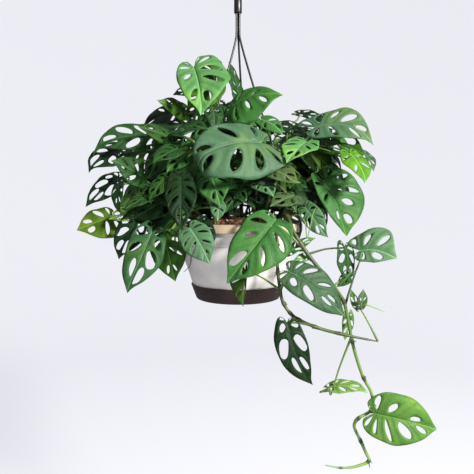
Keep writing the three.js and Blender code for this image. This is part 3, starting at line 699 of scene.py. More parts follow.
def smooth_path(points, per_span=8):
    """A smooth path through the points: a centripetal Catmull-Rom curve."""
    points = np.asarray(points, float)
    ends = [2 * points[0] - points[1], *points, 2 * points[-1] - points[-2]]
    w = np.linspace(0, 1, per_span + 1)[:-1, None]
    path = []
    for before, here, after, beyond in zip(ends, ends[1:], ends[2:], ends[3:]):
        a, b, c = (max(math.dist(p, q) ** 0.5, 1e-4)
                   for p, q in ((before, here), (here, after), (after, beyond)))
        leave = ((here - before) / a - (after - before) / (a + b) + (after - here) / b) * b
        arrive = ((after - here) / b - (beyond - here) / (b + c) + (beyond - after) / c) * b
        path.append(between(here, after, leave, arrive, w))
    return np.vstack([*path, points[-1:]])


class Chains:
    """Paths of one plant part, with a girth in mm and an age. Knuckles are thick and woody."""

    def __init__(self):
        self.points, self.edges, self.girth, self.age = [], [], [], []

    def add(self, path, girth, age, knuckles=()):
        start, share = len(self.points), np.linspace(0, 1, len(path))
        knot = np.zeros(len(path))
        for place in knuckles:
            away = np.linalg.norm(np.subtract(path, place), axis=1)
            knot = np.maximum(knot, np.exp(-(away / KNUCKLE_LENGTH) ** 2))
        self.points += [tuple(p) for p in path]
        self.edges += [(start + i, start + i + 1) for i in range(len(path) - 1)]
        girth = np.interp(share, np.linspace(0, 1, len(girth)), girth)
        self.girth += list(girth * MM * (1 + KNUCKLE_SWELL * knot))
        self.age += list(np.interp(share, np.linspace(0, 1, len(age)), age) + knot)

    def tubes(self, tree, material):
        mesh = bpy.data.meshes.new("paths")
        mesh.from_pydata(np.array(self.points) * MM, self.edges, [])
        set_layer(mesh, "girth", self.girth)
        set_layer(mesh, "age", self.age)
        return grown(mesh, tree, Material=material)


print("a path through 4 points has", len(smooth_path([(0, 0, 0), (9, 0, 0), (9, 9, 0), (0, 9, 9)])))

# %% [markdown]
# ## Where every leaf grows
#
# The plant has eighteen leafy stems. Each starts with its foot in the soil and its
# route. Then each line is one leaf: where along the route its petiole leaves the stem,
# where the petiole meets the blade, where the drip tip is, which way the upper side
# looks, its width and its colour. Heights are above the pot's rim. What only some leaves
# have follows by name, and a pair is for the two halves of a blade.

# %% Leaf colours
# The tint shadow is painted shade: a darkened leaf green for leaves that lie in shade. The tints
# grey and mist are greyed greens, partly the leaves' own tone and partly a painted sheen.
TINTS = {
    "bright": "4E8148", "light": "55853F", "mid": "2E5F26", "rich": "315F2B", "grey": "466B48",
    "blue": "2B4F38", "dark": "1A3C18", "deep": "0C2310", "yellow": "42600A", "pale": "6E9446",
    "lime": "457818", "olive": "2D4A0E", "sage": "324E35", "bottle": "2C5130",
    "fresh": "49732D", "moss": "28520A", "ash": "567A56", "hazel": "3E5230",
    "shadow": "1C3F18", "mist": "3E5F44", "forest": "1C4206",
}
STEMS = {}


def leaf(at, base, tip, face, wide, tint, **more):
    return dict(at=at, base=base, tip=tip, face=face, wide=wide, tint=paint(TINTS[tint]), **more)


def add_stem(name, root, route, *leaves, twigs=()):
    STEMS[name] = dict(root=root, route=route, leaves=list(leaves), twigs=twigs)


print("leaf colours:", len(TINTS))

# %% Stems of the crown and the middle
add_stem(
    "stem_crown_left", (-18, 10),
    [(-22, 5, 60), (-35, -5, 120), (-50, -10, 170), (-58, -20, 205)],
    leaf(1.0, (-65, -44, 230), (-50, -88, 153), (-1, -8, 4), 0.84, "bright",
         lopsided=0.24, lobes=(0.22, 0.12), slots=(5, 4), open=0.36),
    leaf(0.9, (-66, -2, 206), (-100, -16, 196), (0, -8, 5), 0.6, "shadow"),
    leaf(0.5, (-79, -20, 168), (-118, -55, 179), (-2, -8, 3), 0.6, "moss", open=0.3),
    leaf(0.4, (-65, 26, 189), (-73, 8, 145), (-1, -9, 3), 0.7, "dark"),
    leaf(0.95, (-28, -20, 234), (-74, -30, 206), (0, -9, 3), 0.85, "olive", open=0.2),
    leaf(0.9, (-34, -26, 212), (-76, -38, 172), (0, -9, 3), 0.85, "moss", open=0.2),
)
add_stem(
    "stem_crown_right", (6, -8), [(4, -6, 60), (0, -8, 120), (-2, -14, 160)],
    leaf(1.0, (-8, -42, 174), (64, -74, 184), (2, -8, 5), 0.78, "mid", bow=0.05,
         lopsided=-0.46, lobes=(0.02, 0.22), slots=(3, 5), open=(0.1, 0.28), hook=0),
    leaf(0.95, (2, -5, 192), (-14, 6, 252), (7, -5, 2), 0.55, "shadow", open=0.2),
    leaf(0.7, (-19, 4, 186), (-31, -14, 140), (0, -9, 3), 0.7, "dark"),
)
add_stem(
    "stem_middle", (24, -38), [(28, -44, 45), (34, -62, 90), (38, -76, 108)],
    leaf(1.0, (32, -88, 115), (-78, -112, 70), (1, -8, 4), 0.74, "mist", bow=-0.08, droop=0.8,
         fold=0.12, curl=0.4, hook=0, roll=2.4, lopsided=0.2, lobes=(0.14, 0.04), slots=(5, 4),
         open=(0.44, 0.3)),
    leaf(0.1, (29, -64, 60), (50, -95, 39), (1, -7, 6), 0.7, "grey"),
    leaf(0.3, (10, -50, 62), (-18, -74, 16), (-1, -8, 4), 0.6, "dark"),
    leaf(0.9, (14, -64, 140), (-38, -74, 118), (0, -8, 4), 0.8, "deep", open=0.15),
    leaf(0.8, (40, -60, 116), (-6, -68, 88), (0, -8, 4), 0.85, "shadow", open=0.15),
    leaf(0.1, (20, -20, 46), (8, -30, 8), (0, -9, 3), 0.7, "deep", open=0.8),
)
add_stem(
    "stem_middle_left", (-28, -28), [(-38, -40, 55), (-52, -52, 100), (-66, -54, 122)],
    leaf(1.0, (-90, -58, 136), (-42, -104, 130), (1, -7, 6), 0.6, "shadow"),
    leaf(0.8, (-43, -66, 120), (-70, -92, 94), (-5, -6, 6), 0.6, "yellow"),
    leaf(0.7, (-85, -80, 107), (-117, -112, 85), (-1, -7, 7), 0.75, "shadow"),
    leaf(0.5, (-74, -52, 103), (-104, -70, 75), (-1, -8, 4), 0.7, "rich"),
)
print("stems so far:", len(STEMS))

# %% Stems on the right
add_stem(
    "stem_right_top", (45, 4), [(60, -8, 60), (84, -22, 104), (104, -36, 128)],
    leaf(1.0, (116, -45, 143), (197, -66, 118), (1, -9, 4), 0.66, "mist",
         bow=0.13, lopsided=0.16, lobes=(0.26, 0.02), slots=(6, 4), hook=-0.06),
    leaf(0.9, (104, -12, 142), (42, 20, 156), (0, -4, 9), 0.7, "deep", open=0.6),
    leaf(0.85, (130, -34, 124), (184, -70, 98), (0, -8, 5), 0.66, "forest", slots=3,
         open=(0.6, 0.9)),
    leaf(0.8, (160, -76, 101), (177, -105, 58), (3, -8, 4), 0.74, "lime", slots=3,
         open=0.24, hook=-0.06),
    leaf(0.9, (187, -38, 107), (199, -58, 77), (3, -8, 3), 0.55, "sage"),
    leaf(0.75, (100, -56, 120), (67, -99, 86), (-2, -7, 6), 0.8, "bright"),
)
add_stem(
    "stem_right", (62, -6), [(80, -12, 34), (98, -24, 58), (112, -32, 70)],
    leaf(1.0, (129, -50, 60), (155, -74, -18), (2, -9, 2), 0.82, "rich",
         lopsided=0.36, lobes=(0.24, 0.16), slots=(6, 4), open=(0.36, 0.3), hook=0.03),
    leaf(0.6, (99, -60, 24), (128, -80, -20), (-4, -8, 3), 0.55, "grey", open=0.3),
    leaf(0.7, (78, -40, 58), (100, -70, 52), (0, -8, 5), 0.7, "dark"),
)
add_stem(
    "stem_right_inner", (38, -56), [(46, -60, 38), (60, -58, 70)],
    leaf(1.0, (40, -66, 82), (84, -94, 55), (0, -7, 7), 0.7, "hazel", open=0.3, hook=0.1),
    leaf(0.7, (81, -72, 41), (45, -98, 25), (-1, -7, 7), 0.8, "hazel", open=0.4, curl=0.9,
         wave=0.06),
)
add_stem(
    "vine_long", (58, -60),
    [(64, -78, 12), (70, -95, 10), (76, -107, -8), (88, -112, -28), (104, -114, -50),
     (118, -114, -67), (133, -114, -85), (146, -112, -105), (153, -110, -131),
     (160, -107, -163), (169, -104, -193), (178, -102, -217), (189, -101, -237),
     (192, -100, -254), (188, -100, -266), (172, -100, -276), (166, -100, -286),
     (175, -100, -308), (183, -100, -326), (188, -100, -338), (172, -100, -346),
     (150, -100, -349), (125, -100, -345)],
    leaf(0.16, (52, -118, 8), (-15, -142, -76), (-1, -9, 4), 0.68, "rich",
         lopsided=0.08, lobes=(-0.06, -0.08), slots=(6, 5), open=(0.28, 0.42), hook=0),
    leaf(0.33, (171, -100, -36), (214, -128, -45), (1, -9, 3), 1.2, "ash", bow=0.08,
         lopsided=0.4, lobes=(0.45, 0.02), slots=3, open=0.45, stalk_age=1.1),
    leaf(0.16, (150, -98, -31), (148, -104, -84), (6, -8, 0), 0.7, "dark", open=0.6,
         stalk_age=1.3),
    leaf(0.64, (191, -112, -264), (277, -118, -284), (0, -9, 2), 0.78, "fresh",
         lobes=(0.02, 0.04), slots=(4, 6), open=0.44, hook=0),
    leaf(0.4, (129, -100, -232), (177, -130, -228), (0, -2, 9), 0.7, "pale"),
    leaf(0.38, (158, -90, -127), (151, -92, -165), (1, -9, 0), 0.45, "fresh"),
    leaf(0.27, (157, -106, -66), (137, -110, -86), (0, -9, 3), 0.6, "shadow"),
    leaf(0.15, (72, -106, -37), (108, -104, -17), (-1, -9, 2), 0.34, "mid"),
    leaf(0.2, (97, -106, -43), (76, -108, -51), (0, -8, 5), 0.6, "light"),
    twigs=[(0.9, [0.6, 0.2], [(70, -95, 10), (84, -104, 14), (92, -110, 4), (95, -111, -17),
                              (99, -110, -4), (104, -104, 16), (112, -84, 26)])],
)
add_stem(
    "vine_short", (40, -72),
    [(46, -90, 10), (51, -101, 4), (54, -105, -20), (55, -108, -60), (58, -112, -89),
     (63, -115, -108), (73, -116, -122), (86, -117, -131), (113, -118, -142),
     (152, -122, -151), (192, -122, -159)],
    leaf(0.4, (10, -108, -62), (6, -114, -112), (-3, -8, 1), 0.5, "olive", lopsided=-0.7,
         slots=(3, 4), open=0.3),
    leaf(0.4, (68, -130, -61), (142, -136, -124), (1, -8, 5), 0.55, "sage", lobes=0,
         slots=(6, 5), open=(0.34, 0.44)),
    leaf(0.75, (67, -128, -132), (100, -126, -219), (0, -9, 1), 0.46, "deep", bow=-0.05,
         lopsided=-0.1, lobes=(-0.04, 0.02), slots=4, open=0.6, hook=0.03),
    leaf(1.0, (165, -118, -114), (155, -118, -87), (-3, -9, 0), 0.4, "mid"),
    leaf(1.0, (168, -121, -112), (170, -124, -86), (2, -9, 3), 0.6, "sage",
         start=(165, -118, -114)),
    twigs=[(1.2, [0.2, 0], [(165, -118, -113), (174, -118, -109), (188, -118, -113),
                            (202, -118, -119)])],
)
print("stems so far:", len(STEMS))

# %% Stems on the left
add_stem(
    "stem_left_top", (-45, 6), [(-64, 0, 60), (-94, -8, 104), (-114, -14, 124)],
    leaf(0.9, (-122, -24, 131), (-217, -50, 113), (0, -9, 4), 0.5, "dark",
         bow=-0.05, lopsided=0, open=(0.6, 0.8), slots=(5, 6), hook=0.16),
    leaf(0.8, (-101, -48, 127), (-143, -72, 139), (0, -8, 5), 0.62, "shadow", open=0.6),
    leaf(1.0, (-183, -10, 114), (-228, -40, 80), (-2, -8, 4), 0.78, "deep", open=0.8,
         hook=0.14),
)
add_stem(
    "stem_left_middle", (-56, -18), [(-84, -28, 30), (-112, -38, 48), (-130, -44, 57)],
    leaf(0.95, (-137, -50, 67), (-178, -88, 92), (-1, -8, 4), 0.7, "shadow"),
    leaf(0.95, (-182, -25, 70), (-224, -58, 25), (-3, -8, 3), 0.64, "deep", open=0.85),
    leaf(0.85, (-171, -68, 62), (-168, -84, 15), (-6, -6, 2), 0.6, "shadow", open=0.3),
    leaf(0.75, (-126, -72, 40), (-155, -102, 22), (0, -5, 8), 0.6, "dark"),
)
add_stem(
    "stem_left_low", (-70, -8), [(-92, -14, 12), (-114, -24, 10), (-134, -32, 4)],
    leaf(1.0, (-196, -19, 10), (-242, -45, -10), (-2, -8, 3), 1.0, "yellow",
         lopsided=0.18, slots=4, open=(0.36, 0.44), hook=0),
    leaf(0.9, (-157, -40, 17), (-190, -58, 6), (0, -8, 5), 0.7, "pale", open=0.5),
    leaf(0.7, (-148, -62, 8), (-175, -72, -50), (-2, -9, 2), 0.7, "deep", open=0.7),
)
add_stem(
    "stem_left_front", (-58, -46), [(-72, -66, 12), (-84, -80, 6), (-94, -84, -6)],
    leaf(1.0, (-121, -92, -11), (-157, -104, -94), (-1, -9, 2), 0.62, "bottle",
         slots=(5, 4), open=0.7),
    leaf(0.9, (-108, -72, -8), (-90, -82, -82), (-2, -9, 1), 0.74, "moss", open=0.3),
    leaf(0.7, (-66, -114, -4), (-38, -122, -52), (-1, -9, 3), 0.8, "grey", slots=6, open=0.32),
    leaf(0.6, (-56, -101, 4), (-40, -109, -40), (-1, -9, 1), 0.8, "deep", open=0.15,
         lopsided=0, wave=0.05),
    twigs=[(1.0, [1.2, 1.2], [(-94, -84, -6), (-78, -96, -16), (-66, -98, -44),
                              (-68, -100, -58), (-76, -100, -66)])],
)
add_stem(
    "stem_front_left", (-34, -60), [(-42, -70, 34), (-54, -78, 56)],
    leaf(0.9, (-42, -80, 78), (-24, -108, 24), (-1, -9, 3), 0.76, "rich", open=0.3),
    leaf(1.0, (-80, -94, 66), (-78, -120, -8), (-1, -9, 4), 0.56, "deep", open=0.35),
    leaf(0.9, (-102, -78, 68), (-124, -92, 34), (-3, -8, 5), 0.75, "shadow"),
    leaf(0.6, (-29, -95, 32), (-27, -114, 6), (0, -9, 3), 0.7, "grey", open=0.2),
)
print("stems so far:", len(STEMS))

# %% Stems at the back
BACK_SECTORS = [18, 56, 108, 150]  # degrees round from +X
BACK_TOPS = [150, 112, 150, 112]
LOW_BASES = [64, 22, 22, 22]  # mm above the rim, where each low leaf starts
BACK_TINTS = [("mid", "rich", "grey"), ("dark", "mid", "light"),
              ("rich", "grey", "mid"), ("mid", "dark", "rich")]


def back_stem(index, degrees, top, low, tints):
    """A stem of the back: a low leaf over the rim, one that spreads and one that stands."""
    def place(radius, turn, height):
        angle = math.radians(degrees + turn)
        return (radius * math.cos(angle), radius * math.sin(angle), height)

    def shift(k, size):
        return size * (draw(90 + index, k) - 0.5)

    add_stem(
        f"stem_back_{index + 1}", place(56, 0, 0)[:2],
        [place(64, 0, 40), place(76, 0, 78), place(84, 0, top)],
        leaf(0.4, place(122, -7, low + shift(1, 12)), place(142, -10, low - 84 + shift(2, 24)),
             place(9, -10, 3), 0.72, tints[0], hook=0),
        leaf(0.75, place(132, 6, 84 + shift(3, 10)),
             place(204 + shift(4, 16), 4, 44 + shift(5, 14)), place(5, 4, 8), 0.7, tints[1],
             hook=0),
        leaf(1.0, place(104, 0, top + 26), place(172 + shift(6, 16), -3, top + 8),
             place(4, 0, 9), 0.72, tints[2], hook=0),
    )


for index, sizes in enumerate(zip(BACK_SECTORS, BACK_TOPS, LOW_BASES, BACK_TINTS)):
    back_stem(index, *sizes)
print("stems:", len(STEMS), "leaves:", sum(len(s["leaves"]) for s in STEMS.values()))

# %% [markdown]
# ## Growing the stems
#
# Each stem becomes two pieces: its blades and its stalks. What a leaf's line leaves out,
# such as how far the blade droops, is drawn from the leaf's own number, so every run of
# this script grows the same plant.

# %% Complete a leaf
RIM_TOP = -415
SOIL_CROWN, SOIL_EDGE, SOIL_RADIUS = 11, -7, 92.4


def above_rim(point):
    return (point[0], point[1], point[2] + RIM_TOP)


def completed(line, seed):
    size = math.dist(line["tip"], line["base"])
    whole = {
        "droop": 0.45 + 0.35 * draw(seed, 1), "fold": 0.16 + 0.16 * draw(seed, 2),
        "curl": 0.42 + 0.3 * draw(seed, 3), "bow": 0.02 + 0.02 * draw(seed, 4),
        "lopsided": 0.09 * (draw(seed, 5) - 0.5), "hook": 0.1 * (draw(seed, 8) - 0.5),
        "lobes": (0.03 + 0.07 * draw(seed, 6), 0.03 + 0.07 * draw(seed, 7)),
        "slots": 6 if size > 76 else 5 if size > 56 else 4 if size > 36 else 3,
        "wave": 0.03, "roll": 0.01, "open": 0.4, "slotted": 1.0, "rings": 3,
        "steps": (6, 12) if size > 60 else (6, 9), "half": line["wide"] / 2, "seed": seed,
        "size": size, **line, "base": above_rim(line["base"]), "tip": above_rim(line["tip"]),
    }
    for name in ("lobes", "slots", "open"):
        whole[name] = dict(zip((1, -1), np.broadcast_to(whole[name], 2)))
    half_droop = whole["droop"] / 2
    whole["length"] = size * half_droop / math.sin(half_droop)
    return whole


def soil_height(x, y):
    return SOIL_CROWN - (SOIL_CROWN - SOIL_EDGE) * (x * x + y * y) / SOIL_RADIUS ** 2


def on_path(path, share):
    place = share * (len(path) - 1)
    index = min(int(place), len(path) - 2)
    return path[index] + (place - index) * (path[index + 1] - path[index])


print("soil height at the middle and at the wall:", soil_height(0, 0), soil_height(SOIL_RADIUS, 0))

# %% [markdown]
# ## Leaves inside the mound
#
# Between the leaves that make the plant's outline grow many smaller ones, which close
# the mound and make its inside dark; the lower ones are also darkened by a painted shade.
# A rule draws a place on the stem, a direction and a size for each, and a leaf that would
# come out of the mound or into the pot is left out.

# %% Inner leaves
MOUND_CENTRE, MOUND_REACH = (-10, 10, 76), (200, 112, 108)
MOUND_POWER = 2.8  # above 2, so the mound fills its corners more than a ball would
POT_TOP, POT_REACH = 10, 118
MOUND_FRONT, LOW_FRONT, LOW_HEIGHT = -62, -90, 56  # low leaves come further forward
FLANK, FLANK_SLOPE = 95, 0.45  # beyond this far from the middle, the front falls back
FREE_RIGHT, FREE_FRONT, FREE_TOP = 92, -32, 92  # room for the large leaf that hangs there
# Painted shade: inner leaves get darker tints the lower they grow in the mound.
LOWEST_PAINTED_SHADE, PAINTED_SHADE_TOP = 0.34, 150  # the lowest inner leaves are this dark
INNER_TINTS = ["dark", "deep", "rich", "mid", "dark", "blue", "rich", "light", "olive", "mid"]
INNER_DRAWS, BACK_DRAWS = 36, 30
SHADY_SIDE, LIGHT_PULL = 40, 0.9  # in front of the first, leaves turn to the window


def in_mound(point):
    x, y, z = point
    shares = [(p - c) / r for p, c, r in zip(point, MOUND_CENTRE, MOUND_REACH)]
    front = LOW_FRONT if z < LOW_HEIGHT else MOUND_FRONT
    front += FLANK_SLOPE * max(0, abs(x - MOUND_CENTRE[0]) - FLANK)
    if x > FREE_RIGHT and z < FREE_TOP:
        front = max(front, FREE_FRONT)
    clear_of_pot = z > POT_TOP or math.hypot(x, y) > POT_REACH
    return sum(abs(s) ** MOUND_POWER for s in shares) < 1 and clear_of_pot and y > front


def inner_leaves(stem, number, draws):
    x, y = stem["root"]
    route = smooth_path([(x, y, soil_height(x, y) + 4), *stem["route"]])
    up = np.array([0, 0, 1])
    for seed in range(1000 + 40 * number, 1000 + 40 * number + draws):
        at = 0.95 * draw(seed, 1)
        start = on_path(route, at)
        turn = math.atan2(start[1], start[0]) + 3.6 * (draw(seed, 2) - 0.5)
        out = np.array([math.cos(turn), math.sin(turn), 0])
        base = start + out * (16 + 34 * draw(seed, 3)) + up * (26 * draw(seed, 4) - 2)
        dip, size = 0.1 + 1.2 * draw(seed, 5), 42 + 40 * draw(seed, 6)
        tip = base + size * (math.cos(dip) * out - math.sin(dip) * up)
        if not (in_mound(base) and in_mound(tip)):
            continue
        face = 0.7 * out + 0.8 * up + 0.9 * (draw(seed, 7) - 0.5) * np.cross(up, out)
        if base[1] < SHADY_SIDE:
            face += LIGHT_PULL * np.array([0, -1, 0])
        tint = INNER_TINTS[int(draw(seed, 8) * len(INNER_TINTS))]
        inner = leaf(at, base, tip, face, 0.6 + 0.2 * draw(seed, 9), tint, steps=(4, 6),
                     rings=2, slotted=0.7, start=start, stalk_steps=4)
        # Painted shade: the lower the leaf, the darker its tint.
        shade = min(1, LOWEST_PAINTED_SHADE + (1 - LOWEST_PAINTED_SHADE) * max(0, base[2]) / PAINTED_SHADE_TOP)
        inner["tint"] = (*[shade * c for c in inner["tint"][:3]], 1.0)
        stem["leaves"].append(inner)


for number, (name, stem) in enumerate(STEMS.items(), 1):
    if not name.startswith("vine"):
        inner_leaves(stem, number, BACK_DRAWS if "back" in name else INNER_DRAWS)
print("leaves with the inner ones:", sum(len(s["leaves"]) for s in STEMS.values()))

# %% Grow stems
STEM_DEPTH, STEM_RADIUS, PETIOLE_RADIUS = 20, 2.6, 1.5
NECK = 9  # mm of a petiole's end that point straight at its blade
CREST, CREST_LIFT = 0.55, 0.04  # where a petiole's arch stands over its line, and how far
TUCK = 0.9  # mm from a blade's middle to the end of its petiole below
STEM_AGES, PEG_AGES = [1.9, 1.3, 0.8, 0.5], [1.4, 1.9]
VINE_KNUCKLES = 0.092  # share of a vine from one knuckle to the next
VINE_GIRTH = np.array([1.2, 1.2, 1.15, 1.1, 1, 0.9, 0.9, 0.85, 0.85, 0.85, 0.9, 0.8, 0.3])
VINE_AGES = {
    "vine_long": [1.1, 1.0, 0.95, 0.8, 0.5, 0.35, 0.2, 0.1, 0.05, 0.0],
    "vine_short": [1.1, 1.0, 0.9, 0.8, 0.6, 0.7, 0.9],
}


def add_petiole(chains, leaf, start, age):
    """From a knuckle on the stem, in an arch, to the blade's notch from below."""
    ahead, up, across = leaf_axes(leaf)
    half = leaf["droop"] / 2
    out = up * math.cos(half) - ahead * math.sin(half)
    slope = ahead * math.cos(half) + up * math.sin(half)
    base = np.array(leaf["base"]) + slope * 0.02 * leaf["length"] - out * TUCK
    reach = math.dist(start, base)
    neck = base - (out + 0.35 * slope) * min(NECK, reach / 4)
    crest = start + CREST * (neck - start) + np.array([0, 0, CREST_LIFT * reach])
    path = smooth_path([start, crest, neck, base], leaf.get("stalk_steps", 8))
    thick = PETIOLE_RADIUS * (0.75 + 0.25 * min(leaf["size"], 90) / 90)
    chains.add(path, thick * np.array([1.35, 1, 0.9, 1, 0.8]), [age, 0.6 * age, 0.3 * age])


def add_pegs(chains, knuckles, seed):
    """Short roots that grow from the knuckles of a vine."""
    for k, place in enumerate(knuckles[:-1], seed):
        for turn in (2 * math.pi * draw(k, n) for n in (1, 2)):
            reach = 3.5 + 5 * draw(k, turn)
            out = np.array([math.cos(turn), -0.4, math.sin(turn) - 0.3]) * reach
            end = place + out - np.array([0, 0, 0.3 * reach])
            chains.add([place, place + 0.6 * out, end], [0.9, 0.75, 0.3], PEG_AGES)


def grow(name, stem, number):
    x, y = stem["root"]
    ground = soil_height(x, y)
    foot = [(x, y, ground - STEM_DEPTH), (x, y, ground - 4), (x, y, ground + 4)]
    whole = smooth_path([above_rim(p) for p in foot + stem["route"]])
    route = smooth_path([above_rim(p) for p in stem["route"]])
    chains, meshes, age = Chains(), [], 0.9
    if name in VINE_AGES:
        age = 0.6
        knuckles = [on_path(route, share) for share in np.arange(0.04, 1.0, VINE_KNUCKLES)]
        chains.add(whole, STEM_RADIUS * VINE_GIRTH, VINE_AGES[name], knuckles)
        add_pegs(chains, knuckles, 50 * number)
    else:
        chains.add(whole, STEM_RADIUS * np.array([1, 1, 0.85]), STEM_AGES)
    for thick, twig_age, points in stem["twigs"]:
        path = smooth_path([above_rim(p) for p in points])
        chains.add(path, thick * np.array([1, 0.8, 0.4]), twig_age)
    for seed, line in enumerate(stem["leaves"], 10 * number + 1):
        whole_leaf = completed(line, seed)
        meshes.append(bent_leaf(whole_leaf))
        start = above_rim(line["start"]) if "start" in line else on_path(route, line["at"])
        add_petiole(chains, whole_leaf, np.array(start), line.get("stalk_age", age))
    return meshes, chains.tubes(TUBES, STALK)


def merged(name, meshes):
    """One object from several meshes."""
    parts = [new_object(name, mesh) for mesh in meshes]
    if len(parts) > 1:
        with bpy.context.temp_override(active_object=parts[0], object=parts[0],
                                       selected_editable_objects=parts):
            bpy.ops.object.join()
    parts[0].name = name
    return parts[0]


def seat(piece, slot, *nodes):
    """Ties a finished piece to the frame: its body and what it stands for. The slot, its finish, is
    not used.
    """
    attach(piece, "root")
    if nodes:
        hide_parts(*nodes)


for number, (name, stem) in enumerate(STEMS.items(), 1):
    blades, stalks = grow(name, stem, number)
    slot = "vine" if name.startswith("vine") else "leaf"
    seat(merged(f"{name}.blades", blades), slot, name)
    seat(merged(f"{name}.stalks", [stalks]), slot, name)
print("leafy stems grown:", len(STEMS))

# %% [markdown]
# ## Pot and saucer
#
# Both are moulded plastic and round, so each is a profile turned round the axis. The
# profile has its small roundings as points of its own, because light catches on them.

# %% Turned shapes
TURN_STEPS = 128
SHARP = math.radians(32)  # edges that turn by more are drawn sharp


def turned(name, profile, material, level=RIM_TOP):
    """A skin from (radius, height) points over a level. It is closed where it ends on the axis."""
    angles = np.linspace(0, 2 * np.pi, TURN_STEPS, endpoint=False)
    rings = [point for point in profile if point[0] > 0]
    vertices = [(r * c, r * s, z) for r, z in rings for c, s in zip(np.cos(angles), np.sin(angles))]
    pole = len(vertices)  # on the axis: the profile's end, and after it a closed start
    vertices += [(0, 0, z) for r, z in (profile[-1], profile[0]) if r == 0]
    last = pole - TURN_STEPS
    faces = []
    for k in range(TURN_STEPS):
        n = (k + 1) % TURN_STEPS
        if profile[0][0] == 0:
            faces.append([pole + 1, n, k])
        faces.append([pole, last + k, last + n])
        faces += [[low + k, low + n, low + TURN_STEPS + n, low + TURN_STEPS + k]
                  for low in range(0, last, TURN_STEPS)]
    mesh = bpy.data.meshes.new(name)
    mesh.from_pydata(np.array(vertices) * MM + (0, 0, level * MM), [], faces)
    mesh.shade_smooth()
    mesh.set_sharp_from_angle(angle=SHARP)
    mesh.materials.append(material)
    return new_object(name, mesh)


def plastic(name, tone, dull, roughness, patch=0.03):
    """Moulded plastic: a tone with faint patches, and a fine grain."""
    material, tree = new_material(name)
    speckle = speckled(tree, patch, 0.0009)
    colour = blend(fade(speckle["Mask"], 0.35, 0.65), paint(tone), paint(dull))
    dress(material, Base_Color=colour, Roughness=speckle["Mask"] * 0.12 + (roughness - 0.06),
          Normal=bump(speckle["Height"], 0.12, 0.0002))
    return material, colour


print("steps round the pot:", TURN_STEPS)

# %% Pot and saucer pieces
RIM_RADIUS, RIM_BAND, RIM_WALL = 101.5, 12.5, 1.9
BAND_RADIUS, POT_WALL = 94.2, 2.1
GROOVE, GROOVE_RADIUS, GROOVE_DEPTH = -32.4, 91.6, 1.1
FOOT_RADIUS, POT_BASE = 62.6, -117.5
CLIP_RADIUS = 71.6  # of the pot where its saucer clips on
SAUCER_BASE, SAUCER_TOP, SAUCER_RADIUS = -120, -96, 74.2
SKIRT_INSIDE = RIM_RADIUS - RIM_WALL
INNER_WALL = [(radius - POT_WALL, height) for radius, height in (
    (BAND_RADIUS, -14), (GROOVE_RADIUS, GROOVE - 1), (82.6, -64), (CLIP_RADIUS, SAUCER_TOP))]
POT_PROFILE = [
    (0, POT_BASE), (FOOT_RADIUS - 4, POT_BASE), (FOOT_RADIUS - 2, POT_BASE + 0.5),
    (FOOT_RADIUS - 1, POT_BASE + 2), (CLIP_RADIUS, SAUCER_TOP), (75.5, -84), (79, -73),
    (83.2, -62.5), (87, -53), (89.7, -43), (GROOVE_RADIUS, GROOVE - 1.2), (91.7, GROOVE - 0.9),
    (GROOVE_RADIUS - GROOVE_DEPTH, GROOVE - 0.6), (GROOVE_RADIUS - GROOVE_DEPTH, GROOVE + 0.3),
    (92.1, GROOVE + 0.6), (92.5, GROOVE + 1.2), (BAND_RADIUS, -14), (BAND_RADIUS, -4.5),
    (BAND_RADIUS + 0.6, -4), (SKIRT_INSIDE - 0.6, -4), (SKIRT_INSIDE, -4.6),
    (SKIRT_INSIDE, -RIM_BAND + 0.3), (SKIRT_INSIDE + 0.3, -RIM_BAND),
    (RIM_RADIUS - 0.4, -RIM_BAND), (RIM_RADIUS, -RIM_BAND + 0.4), (RIM_RADIUS, -1.8),
    (RIM_RADIUS - 0.5, -0.7), (RIM_RADIUS - 1.6, -0.1), (RIM_RADIUS - 2.4, 0),
    (RIM_RADIUS - 4.6, 0), (RIM_RADIUS - 5.8, -0.6), (RIM_RADIUS - 6.5, -2), *INNER_WALL,
    (FOOT_RADIUS - POT_WALL, POT_BASE + 3), (0, POT_BASE + 3),
]
SAUCER_PROFILE = [
    (0, SAUCER_BASE), (60.5, SAUCER_BASE), (63, SAUCER_BASE + 0.3), (65.2, SAUCER_BASE + 1.3),
    (66.5, SAUCER_BASE + 3), (SAUCER_RADIUS, SAUCER_TOP - 0.5),
    (SAUCER_RADIUS - 0.3, SAUCER_TOP - 0.1), (SAUCER_RADIUS - 0.7, SAUCER_TOP),
    (SAUCER_RADIUS - 1.6, SAUCER_TOP), (SAUCER_RADIUS - 2, SAUCER_TOP - 0.5),
    (64.4, SAUCER_BASE + 3.8), (62.6, POT_BASE - 0.3), (0, POT_BASE - 0.3),
]

POT_PLASTIC, pot_colour = plastic("white_plastic", "EEE9E4", "DCD8D6", 0.42)
place = object_place(POT_PLASTIC.node_tree)
height = node(place.tree, "ShaderNodeSeparateXYZ", place)["Z"]
in_rim = height.math("GREATER_THAN", (RIM_TOP - RIM_BAND - 0.2) * MM)
# The rim and its band are tinted a mottled tan.
rim_tan_mottle = (fade(noise(place, 45.0, 4.0), 0.62, 0.30) * 0.4 + 0.55) * in_rim
dress(POT_PLASTIC, Base_Color=blend(rim_tan_mottle, pot_colour, paint("A08C6C")))
SAUCER_PLASTIC = plastic("brown_plastic", "2E100C", "1C0B0A", 0.40)[0]
seat(turned("pot_shell", POT_PROFILE, POT_PLASTIC), "pot", "pot")
seat(turned("saucer_tray", SAUCER_PROFILE, SAUCER_PLASTIC), "saucer", "saucer")
print("pot height with its saucer:", -SAUCER_BASE, "mm")

# %% [markdown]
# ## Hanger
#
# The hanger is black plastic: a hook, a block that gathers three arms, and the arms
# themselves, which end in a U round the rim. The hook and the arms are tubes along
# their paths again, and the block is turned.

